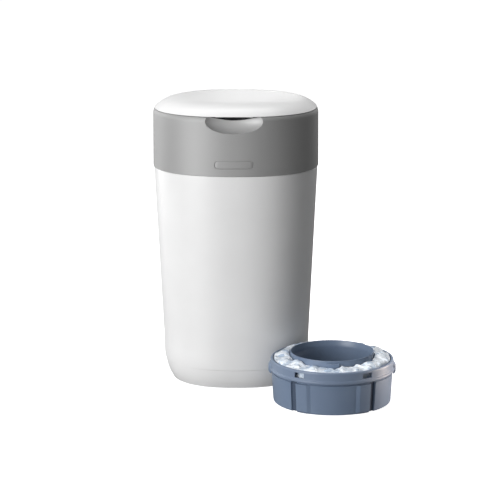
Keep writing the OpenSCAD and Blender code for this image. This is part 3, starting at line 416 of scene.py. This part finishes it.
# ---------------------------------------------------------------- tub
def make_tub():
    """Cup: rounded foot, power-curve base, crease where the sides step out, straight draft, rounded rim, and the
    same inside. Below the crease the wall is drawn in by depth x (2s - 1)^2, where s = |x|^n is the part that x has
    in the plan's |x|^n + |y|^n = 1, so the crease fades at the corners."""
    phi = np.linspace(0, 2 * np.pi, PLAN_COLUMNS, endpoint=False)
    share = (np.abs(np.cos(phi)) * plan_radius(phi)) ** PLAN_POWER
    crease = CREASE_D * (2 * share - 1) ** 2
    # Heights of the outside's rows, close together across the crease
    z_out = np.concatenate([np.linspace(FOOT_R, 28.6, 22), [29.2, 29.5, 29.8, 30.1, 30.4, 30.7, 31.2],
                            np.linspace(32.5, TUB_CURVE, 14), np.linspace(75, 324.5, 14)])
    inset = np.clip((CREASE_TOP - z_out) / CREASE_H, 0, 1)
    inset = inset * inset * (3 - 2 * inset)
    wall = tub_half(z_out)[:, None] - inset[:, None] * crease
    outside = np.stack([wall, np.repeat(z_out[:, None], PLAN_COLUMNS, 1)], -1)
    turn = np.radians([[0], [20], [45], [70]])
    foot = wall[0] - FOOT_R + FOOT_R * np.sin(turn)
    foot = np.stack([foot, np.repeat(FOOT_R - FOOT_R * np.cos(turn), PLAN_COLUMNS, 1)], -1)
    floor = spread([(0.5, 0), (60, 0), (wall[0].min() - 3.5, 0)], PLAN_COLUMNS)
    rim = spread([(TUB_TOP - 0.1, 325.8), (TUB_TOP - 0.35, 326.6), (TUB_TOP - 0.9, TUB_H), (TUB_TOP - 1.6, TUB_H),
                  (TUB_TOP - 2.1, 326.7), (TUB_TOP - 2.4, 326)], PLAN_COLUMNS)
    z_in = np.concatenate([np.linspace(322, 60, 10), np.linspace(54, 9, 14)])
    inside = spread(np.stack([tub_half(z_in) - TUB_WALL, z_in], -1), PLAN_COLUMNS)
    bottom = spread([(tub_half(6.0) - 3.0, 6), (tub_half(4.0) - 4.2, 4), (tub_half(3.0) - 6.5, 3), (60, 3), (0.5, 3)],
                    PLAN_COLUMNS)
    grid = around(np.concatenate([floor, foot, outside, rim, inside, bottom]), phi)
    tub = skin("tub_skin", grid, loop=False)
    # Hinge ears: a hood round the pin on a foot that runs down the wall, with the edges of its cheeks drawn in
    turn = np.radians(np.linspace(0, 180, 17))
    hood = np.stack([PIN_Y + EAR_R * np.cos(turn), PIN_Z + EAR_R * np.sin(turn)], -1)
    outline = np.vstack([hood, [(PIN_Y - EAR_R, 326.4), (122.6, 324), (121.2, 300), (PIN_Y + EAR_R, 329)]])
    middle = outline.mean(0)
    cheeks = middle + (outline[:, None, :] - middle) * np.array([0.94, 1, 1, 0.94])[None, :, None]
    ears = []
    for x0 in EAR_X:
        x = np.array([x0, x0 + 0.5, x0 + EAR_W - 0.5, x0 + EAR_W])
        x = np.broadcast_to(x[None, :, None], (len(outline), 4, 1))
        ears.append(skin("ear", np.concatenate([x, cheeks], -1), ring=False))
    carve(tub, merge("ears", ears), "UNION")
    sides = (-PAD_PLACE, PAD_PLACE)
    holes = [drum("pad_seat", (x, y, -2), 2, PAD_BORE, PAD_DEPTH + 2) for x in sides for y in sides]
    holes.append(drum("bore", (-60, PIN_Y, PIN_Z), 0, PIN_BORE, 120, sides=32))
    return carve(tub, merge("holes", holes))


# ---------------------------------------------------------------- collar
def label_tool():
    """Cutter for the bare label: a rounded rectangle, its corners' middles and the ways out from them, whose rings
    follow the collar's front |x|^n + |y|^n = 1. They stand 0.3 mm in over the plate, and 1.1 mm in along a groove
    1 mm wide round it."""
    middles, ways = [], []
    quarters = np.array([(1, 1), (-1, 1), (-1, -1), (1, -1)])
    for i in range(4):
        reach = np.array([LABEL_HALF - LABEL_CORNER, LABEL_HALF_H - LABEL_CORNER])
        here, after = reach * quarters[i], reach * quarters[(i + 1) % 4]
        turn = np.radians(90 * i + np.linspace(0, 90, 9))
        way = np.stack([np.cos(turn), np.sin(turn)], -1)
        middles.append(np.repeat(here[None], 9, 0))
        ways.append(way)
        step = np.linspace(0, 1, 26 if i % 2 == 0 else 4)[1:-1, None]
        middles.append(here + (after - here) * step)
        ways.append(np.repeat(way[-1:], len(step), 0))
    middle, way = np.vstack(middles), np.vstack(ways)

    def ring(offset, depth, share=1.0):
        """The label's outline, moved in by an offset, then shrunk to a share, at a depth in the collar's front."""
        x, up = ((middle + way * (LABEL_CORNER - offset)) * share).T
        front = -COLLAR_HALF * (1 - (np.abs(x) / COLLAR_HALF) ** PLAN_POWER) ** (1 / PLAN_POWER)
        return np.stack([x, front + depth, LABEL_Z + up], -1)

    rings = [ring(1.7, 0.3, share) for share in (0.02, 0.3, 0.6, 0.85, 1.0)]
    rings += [ring(1.5, 0.4), ring(1.3, 1.1), ring(0.3, 1.1), ring(0.1, 0.95), ring(-0.05, -1.0), ring(1, -3.0, 0.02)]
    return skin("label_tool", np.stack(rings), loop=False)


def make_collar():
    """Ring whose section is found for each direction on its own. The section climbs the wall and shoulder to the
    scoop's ellipse, follows it inwards, and ends on the land. Under the lid's edge the bowl's back rim is cut down
    in an arc, with a shelf and a low wall behind it, which leaves the slot for the fingertips: dark from the lid's
    shadow and from the painted shade given to its shelf and wall."""
    # Columns every 0.4 degrees, and closer round the scoop's two ends
    dense = np.arange(16.8, 21.0, 0.06)
    phi = np.radians(np.unique(np.round(np.concatenate([np.arange(0, 360, 0.4), 270 - dense, 270 + dense]), 3)))
    columns = len(phi)
    cx, cy = plan_radius(phi) * np.cos(phi), plan_radius(phi) * np.sin(phi)

    def ellipse(half, r):
        """The scoop's egg cut by the plane through the bin's axis: middle and half axes in (half width, height)."""
        alpha = (cx / half) ** 2 + (cy / r) ** 2
        middle = np.where(cy < 0, cy * SCOOP_Y / r ** 2 / alpha, 0)
        scale = np.where(cy < 0, 1 - (SCOOP_Y / r) ** 2 + alpha * middle ** 2, -1)
        root = np.sqrt(np.clip(scale, 0, None))
        return middle, root / np.sqrt(alpha) + 1e-9, root * r + 1e-9, scale > 0

    turn = np.arcsin(SHOULDER_H / SHOULDER_R) * np.linspace(0, 1, 9)
    shoulder = np.stack([COLLAR_TOP_HALF - SHOULDER_R + SHOULDER_R * np.cos(turn),
                         GAP_Z - SHOULDER_H + SHOULDER_R * np.sin(turn)], -1)
    path = np.vstack([[COLLAR_HALF - 0.35, COLLAR_Z], [COLLAR_HALF - 0.1, COLLAR_Z + 0.1],
                      [COLLAR_HALF, COLLAR_Z + 0.4], shoulder, [LAND_IN + 0.3, GAP_Z]])
    length = np.concatenate([[0], np.cumsum(np.linalg.norm(np.diff(path, axis=0), axis=1))])

    def along(s):
        """The uncut section's point at the distance s along it."""
        return np.stack([np.interp(s, length, path[:, 0]), np.interp(s, length, path[:, 1])], -1)

    # How far along the section each column enters and leaves the egg. Columns that miss it take the place of its
    # tip, so that the rows run on without a step
    s_fine = np.linspace(0, length[-1], 6000)
    fine = along(s_fine)
    mid, half_w, half_z, hit = ellipse(SCOOP_HALF, SCOOP_R)
    inside = (((fine[:, :1] - mid) / half_w) ** 2 + ((fine[:, 1:] - SCOOP_Z) / half_z) ** 2 < 1) & hit
    cut = inside.any(0)
    first = s_fine[np.argmax(inside, 0)]
    last = s_fine[len(s_fine) - 1 - np.argmax(inside[::-1], 0)]
    tip = (first + last)[np.argmax(cut)] / 2
    first, last = np.where(cut, first, tip), np.where(cut, last, tip)
    past = cut & (last > length[-1] - 0.02)
    # The back rim's dip: an arc of 1 - (angle / slot's half angle)^2
    off = np.abs((np.degrees(phi) - 90) % 360 - 180) / SLOT_DEGREES
    slot = np.clip(1 - off ** 2, 0, 1) * past
    level = GAP_Z - SLOT_DIP * slot
    # The wall below the scoop, with rows at the path's own corners where they are reached
    climb = [1.2, 8, 20, 36, 52, 62, 70, 76]
    stops = np.concatenate([length[:3], climb, length[3:-1], [length[-2] + 0.8, length[-1]]])
    lower = along(np.minimum(stops[:, None], np.maximum(first - 0.35 * cut, 0)))
    # The bowl, from where the wall is cut to where it meets its back rim, and the shoulder left above its ends
    start, end = along(first), along(last)
    far = mid - half_w * np.sqrt(1 - np.clip((level - SCOOP_Z) / half_z, -1, 1) ** 2)
    end[..., 0] = np.where(past, np.minimum(far, end[..., 0]), end[..., 0])
    end[..., 1] = np.where(past, level, end[..., 1])
    a0 = np.arctan2((start[..., 1] - SCOOP_Z) / half_z, (start[..., 0] - mid) / half_w)
    a1 = np.arctan2((end[..., 1] - SCOOP_Z) / half_z, (end[..., 0] - mid) / half_w)
    a1 = np.where(a1 > a0, a1 - 2 * np.pi, a1)
    angle = a0 + (a1 - a0) * np.linspace(0.012, 0.988, 44)[:, None]
    bowl = np.stack([mid + half_w * np.cos(angle), SCOOP_Z + half_z * np.sin(angle)], -1)
    bowl = np.where(cut[None, :, None], bowl, end[None])
    upper = along(np.maximum(stops[3 + len(climb):, None], last))
    upper = np.where(past[None, :, None], end[None], upper)
    # The land: its edge, then the shelf and low wall behind the slot, or else the land's inner edge
    omid, ohalf_w, ohalf_z, ohit = ellipse(SCOOP_HALF + BOWL_T, SCOOP_R + BOWL_T)
    open_slot = slot > 0
    back_z = level - 0.3 - 1.7 * open_slot
    rim_out = omid - ohalf_w * np.sqrt(1 - np.clip((back_z - SCOOP_Z) / ohalf_z, -1, 1) ** 2)
    inner = np.where(ohit, np.minimum(rim_out, LAND_IN), LAND_IN)
    deep = np.clip((GAP_Z - 2 - level) / 1.5, 0, 1)
    edge = upper[-1, :, 0] - 0.25 * past
    wall_r = edge - open_slot * (1.9 + 3.1 * deep)
    wall_top = np.where(open_slot, GAP_Z - 0.1 - 1.9 * deep, level)
    back_r = np.where(open_slot, wall_r - 0.6, inner)
    land = [np.stack(pair, -1) for pair in (
        (edge, level), (wall_r, level), (wall_r - 0.02 * open_slot, wall_top),
        (back_r + 0.25 * ~open_slot, wall_top), (back_r, back_z))]
    # Down the back: under the land to the wall, or round the bowl wherever that stands further in
    wall_in = COLLAR_TOP_HALF - COLLAR_WALL
    under, lowest = GAP_Z - LAND_T, 386
    stops_z = np.concatenate([[GAP_Z - 0.4, GAP_Z - 1.5, under + 0.02, under - 0.02], np.linspace(409, lowest, 14)])
    slot_z = back_z - (back_z - lowest) * np.linspace(0.01, 1, len(stops_z))[:, None]
    z_back = np.where(open_slot, slot_z, stops_z[:, None])
    round_bowl = omid - ohalf_w * np.sqrt(np.clip(1 - ((z_back - SCOOP_Z) / ohalf_z) ** 2, 0, 1))
    round_bowl = np.where(ohit, round_bowl, COLLAR_HALF)
    behind = np.stack([np.minimum(np.where(z_back > under, inner, wall_in), round_bowl), z_back], -1)
    down = spread([(wall_in + 0.15, 380), (COLLAR_HALF - COLLAR_WALL, COLLAR_Z + 0.3),
                   (COLLAR_HALF - COLLAR_WALL + 0.3, COLLAR_Z)], columns)
    profile = np.concatenate([lower, bowl, upper, np.stack(land), behind, down])
    collar = skin("collar_skin", around(profile, phi), sharp=38)
    tools = [block("head_notch", (-36.9, 90, 300), (36.9, 140, 335)),
             block("lid_notch", (-27.4, 90, 402.05), (27.4, 140, 440))]
    carve(collar, merge("notches", tools), sharp=38)
    return carve(collar, label_tool(), sharp=30)


def finish_scoop(collar):
    """Gives the scoop its smoother material, paler as painted light, and the shelf and low wall behind its back rim a
    near-black material, which is painted shade. The scoop's own faces have egg = (x/a)^2 + (y/r)^2 + (z/r)^2 = 1 from
    its middle, and look against the gradient. The slot's faces stand outside the egg and look up or to the front."""
    # Material 1 is the slot's painted shade, material 2 the scoop's paler colour, painted light on a smoother surface
    dark, polished = 1, 2
    collar.data.materials.append(slot_black)
    collar.data.materials.append(scoop_grey)
    radii = np.array([SCOOP_HALF, SCOOP_R, SCOOP_R])
    front, slot_front, rear, low = -128, -118, -99, 385
    for face in collar.data.polygons:
        x, y, z = np.array(face.center) / MM
        if abs(x) > SCOOP_HALF or not front < y < rear or z < low:
            continue
        way = np.array([x, y - SCOOP_Y, z - SCOOP_Z])
        egg = ((way / radii) ** 2).sum()
        slope = Vector(way / radii ** 2).normalized()
        facing = face.normal.z > 0.5 or face.normal.y < -0.3
        if abs(egg - 1) < 0.03 and face.normal.dot(slope) < -0.9:
            face.material_index = polished
        elif abs(x) < SLOT_HALF and slot_front < y and z < GAP_Z + 0.01 and egg > 1.004 and facing:
            face.material_index = dark


# ---------------------------------------------------------------- lid
def make_lid():
    """Shallow pillow: rise = edge (1 - s^8) + crown (1 - s^2) at the share s of the half width, with its wall's
    inner face the same curve under it and a rounded lip between them. Its rings crowd towards the edge, and end
    just short of the middle."""
    phi = np.linspace(0, 2 * np.pi, PLAN_COLUMNS, endpoint=False)
    share = 1 - np.linspace(0, 1, 40) ** 2.2 * 0.995

    def rise(s, edge):
        return RIM_Z + edge * (1 - s ** LID_POWER) + LID_CROWN * (1 - s ** 2)

    outside = np.stack([LAND_HALF * share, rise(share, LID_EDGE) + 0.3 * share ** 40], -1)
    half_in = LAND_HALF - LID_WALL
    inside = np.stack([half_in * share, rise(share, LID_EDGE - LID_WALL)], -1)
    lip = np.array([[LAND_HALF - 0.1, RIM_Z + 0.08], [LAND_HALF - 0.35, RIM_Z], [half_in + 0.5, RIM_Z]])
    profile = np.vstack([outside[::-1], lip, inside])
    lid = skin("lid_skin", around(spread(profile, PLAN_COLUMNS), phi), loop=False)
    return carve(lid, block("hinge_notch", (-27, 119.9, 400), (27, 140, 440)))


# ---------------------------------------------------------------- cassette
def from_middle(phi):
    """Angle in degrees from the nearer of the cassette's front and back."""
    from_front = np.degrees(np.abs((phi - 1.5 * np.pi + np.pi) % (2 * np.pi) - np.pi))
    return np.minimum(from_front, 180 - from_front)


def cassette_angles():
    """Columns every degree, and closer where a pad or a groove begins or ends."""
    edge = np.concatenate([np.array(PAD_TURNS[1:-1]) + d for d in (-0.3, -0.1, 0.1, 0.3)])
    places = np.concatenate([270 - edge, 270 + edge, 90 - edge, 90 + edge, np.arange(0, 360, 1.0)])
    return np.radians(np.unique(np.round(places % 360, 3)))


def make_casing(name, at):
    """Cup round the throat: drafted wall, rounded foot, flat base and inner tube. Each pad rises by a long slope to
    1.9 mm at the foot and 2.3 mm under the band, and drops into a groove 2.8 mm deep. A neck 1.6 mm deep runs
    under the band's lip."""
    phi = cassette_angles()
    columns = len(phi)
    # Heights of the wall's rows, its radius there, and how much of the pads and grooves is left there
    wall_z = np.array([1.6, 2.4, 3.2, 4.2, 12, 22, 32, 41, 43.4, 43.7, 44.0, 46.5, 52.3])
    wall_r = np.interp(wall_z, [0, 2, 43.7, 44.0, 52.3], [85.9, 86.5, 88.9, 87.3, 88.9])
    fade = np.interp(wall_z, [1.6, 3.2, 43.7, 44.0], [0.3, 1, 1, 0])
    pad = np.interp(wall_z, [3, 46], [1.9, 2.3])
    turn = from_middle(phi)
    rise = np.interp(turn, PAD_TURNS, [0, 0, 1, 1, 0, 0, 0, 0])
    groove = np.interp(turn, PAD_TURNS, [0, 0, 0, 0, 1, 1, 0, 0])
    wall = wall_r[:, None] + fade[:, None] * pad[:, None] * rise
    wall -= GROOVE_D * groove * np.clip(fade * 9, 0.4, 1)[:, None]
    wall = np.stack([wall, np.repeat(wall_z[:, None], columns, 1)], -1)
    foot = np.stack([wall[0, :, 0] - [[2.2], [1.2], [0.5]], np.repeat([[0.0], [0.15], [0.6]], columns, 1)], -1)
    low = spread([(58.0, 0.6), (58.2, 0.15), (58.7, 0), (70, 0), (80, 0)], columns)
    back = spread([(88.7, 52.5), (87.3, 52.5), (87.1, 52.1), (87.0, 48), (84.6, 46.5), (82.0, 4), (81.4, 2.2),
                   (79.5, 1.8), (61, 1.8), (59.8, 2.6), (59.8, 61.6), (59.5, 62), (58.0, 62)], columns)
    return skin(name, around(np.concatenate([low, foot, wall, back]), phi, False, at), sharp=30)


def shade_grooves(casing, at):
    """Gives the grooves' floors painted shade, a darker and matt blue-grey: the faces between a groove's two
    angles that stand further in than the wall and aren't the casing's underside."""
    casing.data.materials.append(groove_blue)
    for face in casing.data.polygons:
        x, y, z = np.array(face.center) / MM - at
        turn = from_middle(math.atan2(y, x))
        deep = 82.5 < math.hypot(x, y) < 86.6 and z < BAND_Z + 0.5
        if GROOVE_START < turn < GROOVE_END and deep and face.normal.z > -0.9:
            face.material_index = 1


def make_band(name, at):
    """Rim ring: rounded lip at the foot, drafted face, rolled rim and inner slope, with four windows and two lugs
    whose section is a half-round that dies into the face above and below."""
    phi = np.radians(np.arange(0, 360, 1.0))
    top, low = CASSETTE_RIM, BAND_Z
    corners = spread([(89.2, low), (90.9, low), (91.6, low + 0.9), (91.6, low + 3.6), (90.25, low + 5.2),
                      (90.3, top - 2.2), (89.8, top - 0.7), (88.7, top), (86.9, top), (86.1, top - 1),
                      (86.6, top - 2), (89.2, top - 3.4)], len(phi))
    radii = (0.15, 0.5, 0.6, 0.9, 0.5, 0.5, 0.6, 0.6, 0.5, 0.4, 0.3, 0.3)
    band = skin(name, around(round_corners(corners, radii), phi, False, at), sharp=40)
    # Lugs: each half-round shrinks towards the band's face and its own middle height at the two sides
    lugs = []
    for turn in (0, 180):
        lug = [(89.75, low - 5.6), (91.0, low - 5.6), (93.2, low - 3.4), (94.0, low), (94.0, low + 5.2),
               (93.1, low + 9.0), (90.5, low + 11.4), (89.75, low + 11.4)]
        angles = np.radians(turn + np.array([-7, -6.6, -6, -5, -2.5, 0, 2.5, 5, 6, 6.6, 7]))
        path = round_corners(spread(lug, len(angles)), (0.3, 0.8, 1.6, 2.2, 2.2, 1.8, 0.3, 0.2))
        flat = np.array([1, 0.55, 0.22, 0.06, 0, 0, 0, 0.06, 0.22, 0.55, 1])[None, :]
        path[..., 0] -= (path[..., 0] - 89.75) * flat * 0.8
        path[..., 1] += (low + 3 - path[..., 1]) * flat * 0.25
        lugs.append(skin("lug", around(path, angles, False, at), ring=False))
    carve(band, merge("lugs", lugs), "UNION", sharp=40)
    windows = [block("window", (85.2, -7.75, top - 11.1), (95.2, 7.75, top - 3.6), turn, at)
               for turn in (237, 303, 57, 123)]
    return carve(band, merge("windows", windows), sharp=40)


def make_funnel(name, at):
    """Inner collar: a short tube with a rolled lip, a thin flange that holds the film down, three notches in the
    flange, and a tongue at the front."""
    phi = np.radians(np.arange(0, 360, 1.0))
    top, flange = FUNNEL_TOP, FLANGE_Z
    corners = spread([(60.1, flange - 4), (61.9, flange - 4), (61.9, flange), (66.9, flange), (66.9, flange + 1.5),
                      (61.9, flange + 2), (61.5, top - 0.5), (61.2, top), (60.2, top), (59.9, top - 0.5),
                      (58.0, 66.0), (58.0, 62.02), (60.1, 62.02)], len(phi))
    radii = (0.3, 0.3, 0.3, 0.4, 0.4, 0.8, 0.5, 0.3, 0.3, 0.5, 3.0, 0, 0.3)
    funnel = skin(name, around(round_corners(corners, radii, steps=3), phi, False, at), sharp=40)
    notches = [block("notch", (62.5, -4.5, flange - 1), (72, 4.5, flange + 5), turn, at) for turn in (90, 210, 330)]
    carve(funnel, merge("notches", notches), sharp=40)
    angles = np.radians(270 + np.linspace(-7.8, 7.8, 21))
    tongue = [(61.0, flange + 0.75), (64.4, flange + 0.75), (64.4, top - 3.6), (61.0, top - 3.6)]
    path = round_corners(spread(tongue, len(angles)), (0.1, 0.3, 0.7, 0.1))
    return carve(funnel, skin("tongue", around(path, angles, False, at), ring=False), "UNION", sharp=40)


def folds(x, y, z, seed, sizes):
    """Crumple: sum of triangle waves in seeded directions. Each wave is |frac(p.d / size + shift) - 1/2|, so every
    crease is a sharp line, bent a little by a slow sine, and the waves' heights fall with their size."""
    draw = np.random.default_rng(seed)
    total = 0
    for size in sizes:
        direction = draw.normal(size=3) * (1, 1, 0.6)
        direction /= np.linalg.norm(direction)
        phase = (x * direction[0] + y * direction[1] + z * direction[2]) / size + draw.uniform()
        phase = phase + 0.22 * np.sin(draw.uniform(0, 6) + (x * direction[1] - y * direction[0]) / (1.7 * size))
        total = total + size / 17 * (np.abs(phase % 1 - 0.5) * 4 - 1)
    return total


def make_film(name, at, seed):
    """Gathered film: a ring that fills the casing, stands back behind the band's windows, swells over its rim and
    slopes up to the funnel. Its free top is pushed along the section's own outward direction by the crumple, and by
    less near what it touches. At the flange's side notches it is held down, which leaves a dark pocket."""
    phi = np.linspace(0, 2 * np.pi, 1200, endpoint=False)
    rim = CASSETTE_RIM
    section = np.array([(60.4, 2.3), (81.0, 2.3), (83.6, 46.8), (82.4, 50.5), (82.4, rim - 4.0), (85.5, rim - 2.0),
                        (85.3, rim - 0.3), (83.6, rim + 0.8), (78, rim + 1.4), (71, rim + 1.7), (66.0, rim + 1.9),
                        (62.6, rim + 1.4), (62.3, rim - 2.4), (67.1, rim - 2.8), (67.1, rim - 9.3),
                        (60.4, rim - 9.3)])
    # Rows at the section's corners, and 76 of them from the windows' top to the inner foot of the free film
    length = np.concatenate([[0], np.cumsum(np.linalg.norm(np.diff(section, axis=0), axis=1))])
    stops = np.concatenate([length[:4], np.linspace(length[4], length[12], 76), length[13:]])
    path = np.stack([np.interp(stops, length, section[:, 0]), np.interp(stops, length, section[:, 1])], -1)
    # The section's own corners are rounded by averaging neighbours
    for _ in range(3):
        path[4:-4] = (path[3:-5] + 2 * path[4:-4] + path[5:-3]) / 4
    tangent = np.gradient(path, axis=0)
    out = np.stack([tangent[:, 1], -tangent[:, 0]], -1)
    out /= np.linalg.norm(out, axis=1, keepdims=True) + 1e-9
    free = np.clip((path[:, 1] - rim + 1.5) / 3.0, 0, 1) * np.clip((86.4 - path[:, 0]) / 3.5, 0, 1)
    free *= np.clip((path[:, 0] - 61.9) / 1.5, 0, 1)
    out[:, 0] *= np.clip((path[:, 0] - 62.5) / 4.0, 0, 1)
    r, z = path[:, :1], path[:, 1:]
    x, y = r * np.cos(phi), r * np.sin(phi)
    push = folds(x, y, z, seed, (40, 28, 20, 14, 10))
    push = (np.clip(push, -2.0, 2.8) + 0.5) * free[:, None]
    profile = np.stack([r + out[:, :1] * push, z + out[:, 1:] * push], -1)
    # The heap is 3.2 mm higher at the sides and the back, and is held down and back at the notches and the tongue
    top = np.clip((z - rim + 1) / 2.5, 0, 1)
    from_front = np.abs((np.degrees(phi) - 90) % 360 - 180)
    profile[..., 1] += 3.2 * np.clip((from_front - 35) / 50, 0, 1) * np.clip((85 - r) / 17, 0, 1) * top
    for turn, wide, drop, back in ((207, 4.5, 6.5, 0), (333, 4.5, 6.5, 0), (270, 8.0, 3.0, 2.8)):
        near = np.clip(1.35 - np.abs((np.degrees(phi) - turn + 180) % 360 - 180) / wide, 0, 1)
        profile[..., 1] -= drop * near * np.clip((71 - r) / 5, 0, 1) * top
        profile[..., 0] += back * near * np.clip((67 - r) / 3, 0, 1) * np.clip((z - rim + 3) / 0.5, 0, 1)
    return skin(name, around(profile, phi, False, at), sharp=16)


# ---------------------------------------------------------------- the pieces
dress(make_tub(), tub_white, "tub", "tub_shell")
collar = make_collar()
dress(collar, collar_grey, "head", "collar_shell")
finish_scoop(collar)
dress(make_lid(), lid_white, "lid", "lid_shell")
for place, body, label, seed in ((CASSETTE, "twister", "cassette", 3), (REFILL, "refill", "refill", 11)):
    casing = make_casing(f"{label}_casing_skin", place)
    dress(casing, cassette_blue, body, f"{label}_casing")
    shade_grooves(casing, place)
    dress(make_band(f"{label}_band_skin", place), band_blue, body, f"{label}_band")
    dress(make_funnel(f"{label}_funnel_skin", place), cassette_blue, body, f"{label}_collar")
    dress(make_film(f"{label}_film_folds", place, seed), film, body, f"{label}_film")

# ---------------------------------------------------------------- floor and light
FLOOR_GLOW, WORLD_LIGHT = 0.88, 0.185

corners = np.array([[-9000, -6000, 0], [9000, -6000, 0], [9000, 16000, 0], [-9000, 16000, 0]], float)
floor_sheet = join("floor", corners, [np.array([[0, 1, 2, 3]])])
# Pale paper that also glows, which gives the photograph's white without a lamp on the floor
paper = bpy.data.materials.new("floor_pale_paper")
paper.use_nodes = True
paper_shader = paper.node_tree.nodes["Principled BSDF"]
for socket, value in (("Base Color", linear("#F4F4F4")), ("Roughness", 0.9), ("Emission Color", (1, 1, 1, 1)),
                      ("Emission Strength", FLOOR_GLOW)):
    paper_shader.inputs[socket].default_value = value
floor_sheet.data.materials.append(paper)
floor_sheet.visible_diffuse = False
floor_sheet.visible_glossy = False


def lamp(name, place, target, size, power):
    """Soft box: an area light at a place, turned to a target, with its width and height in metres and its watts."""
    data = bpy.data.lights.new(name, "AREA")
    data.shape, data.energy = "RECTANGLE", power
    data.size, data.size_y = size
    light = bpy.data.objects.new(name, data)
    bpy.context.scene.collection.objects.link(light)
    light.location = place
    way = np.array(target, float) - np.array(place, float)
    light.rotation_mode = "QUATERNION"
    light.rotation_quaternion = Vector(way).to_track_quat("-Z", "Y")
    return light


# The keys and the strip at the left give the photograph's fall of light from left to right, the top one lights the
# lid, and the two behind draw the right edge and the back of the lid
lamp("key_left", (-1.74, -1.80, 0.57), (0, 0, 0.17), (1.4, 1.7), 61)
lamp("key_front", (-1.15, -2.20, 0.60), (0, 0, 0.20), (1.4, 1.7), 8)
lamp("strip_left", (-1.90, 1.30, 0.60), (0, 0, 0.25), (0.6, 1.6), 21)
lamp("top", (-0.1, 0.6, 2.4), (0, 0, 0.3), (1.6, 1.6), 45)
lamp("rim_right", (1.20, 1.90, 0.60), (0, 0, 0.25), (0.6, 1.2), 3.4)
lamp("back_low", (0.1, 3.2, 0.86), (0, 0, 0.43), (0.5, 0.16), 1.15)
# The photograph is a composite: its cassette was lit apart from the bin, by a warmer lamp at the right. This one
# lights the refill's casing and band alone.
fill = lamp("fill_refill", (0.47, -0.13, 0.06), (0.18, -0.16, 0.03), (0.16, 0.16), 1.35)
fill.data.color = (1.0, 0.84, 0.72)
lit = bpy.data.collections.new("lit_by_fill")
for name in ("refill_casing_skin", "refill_band_skin"):
    lit.objects.link(bpy.data.objects[name])
fill.light_linking.receiver_collection = lit

world = bpy.data.worlds.new("studio")
bpy.context.scene.world = world
world.use_nodes = True
world.node_tree.nodes["Background"].inputs["Color"].default_value = (1, 1, 1, 1)
world.node_tree.nodes["Background"].inputs["Strength"].default_value = WORLD_LIGHT
bpy.context.scene.view_settings.view_transform = "Standard"
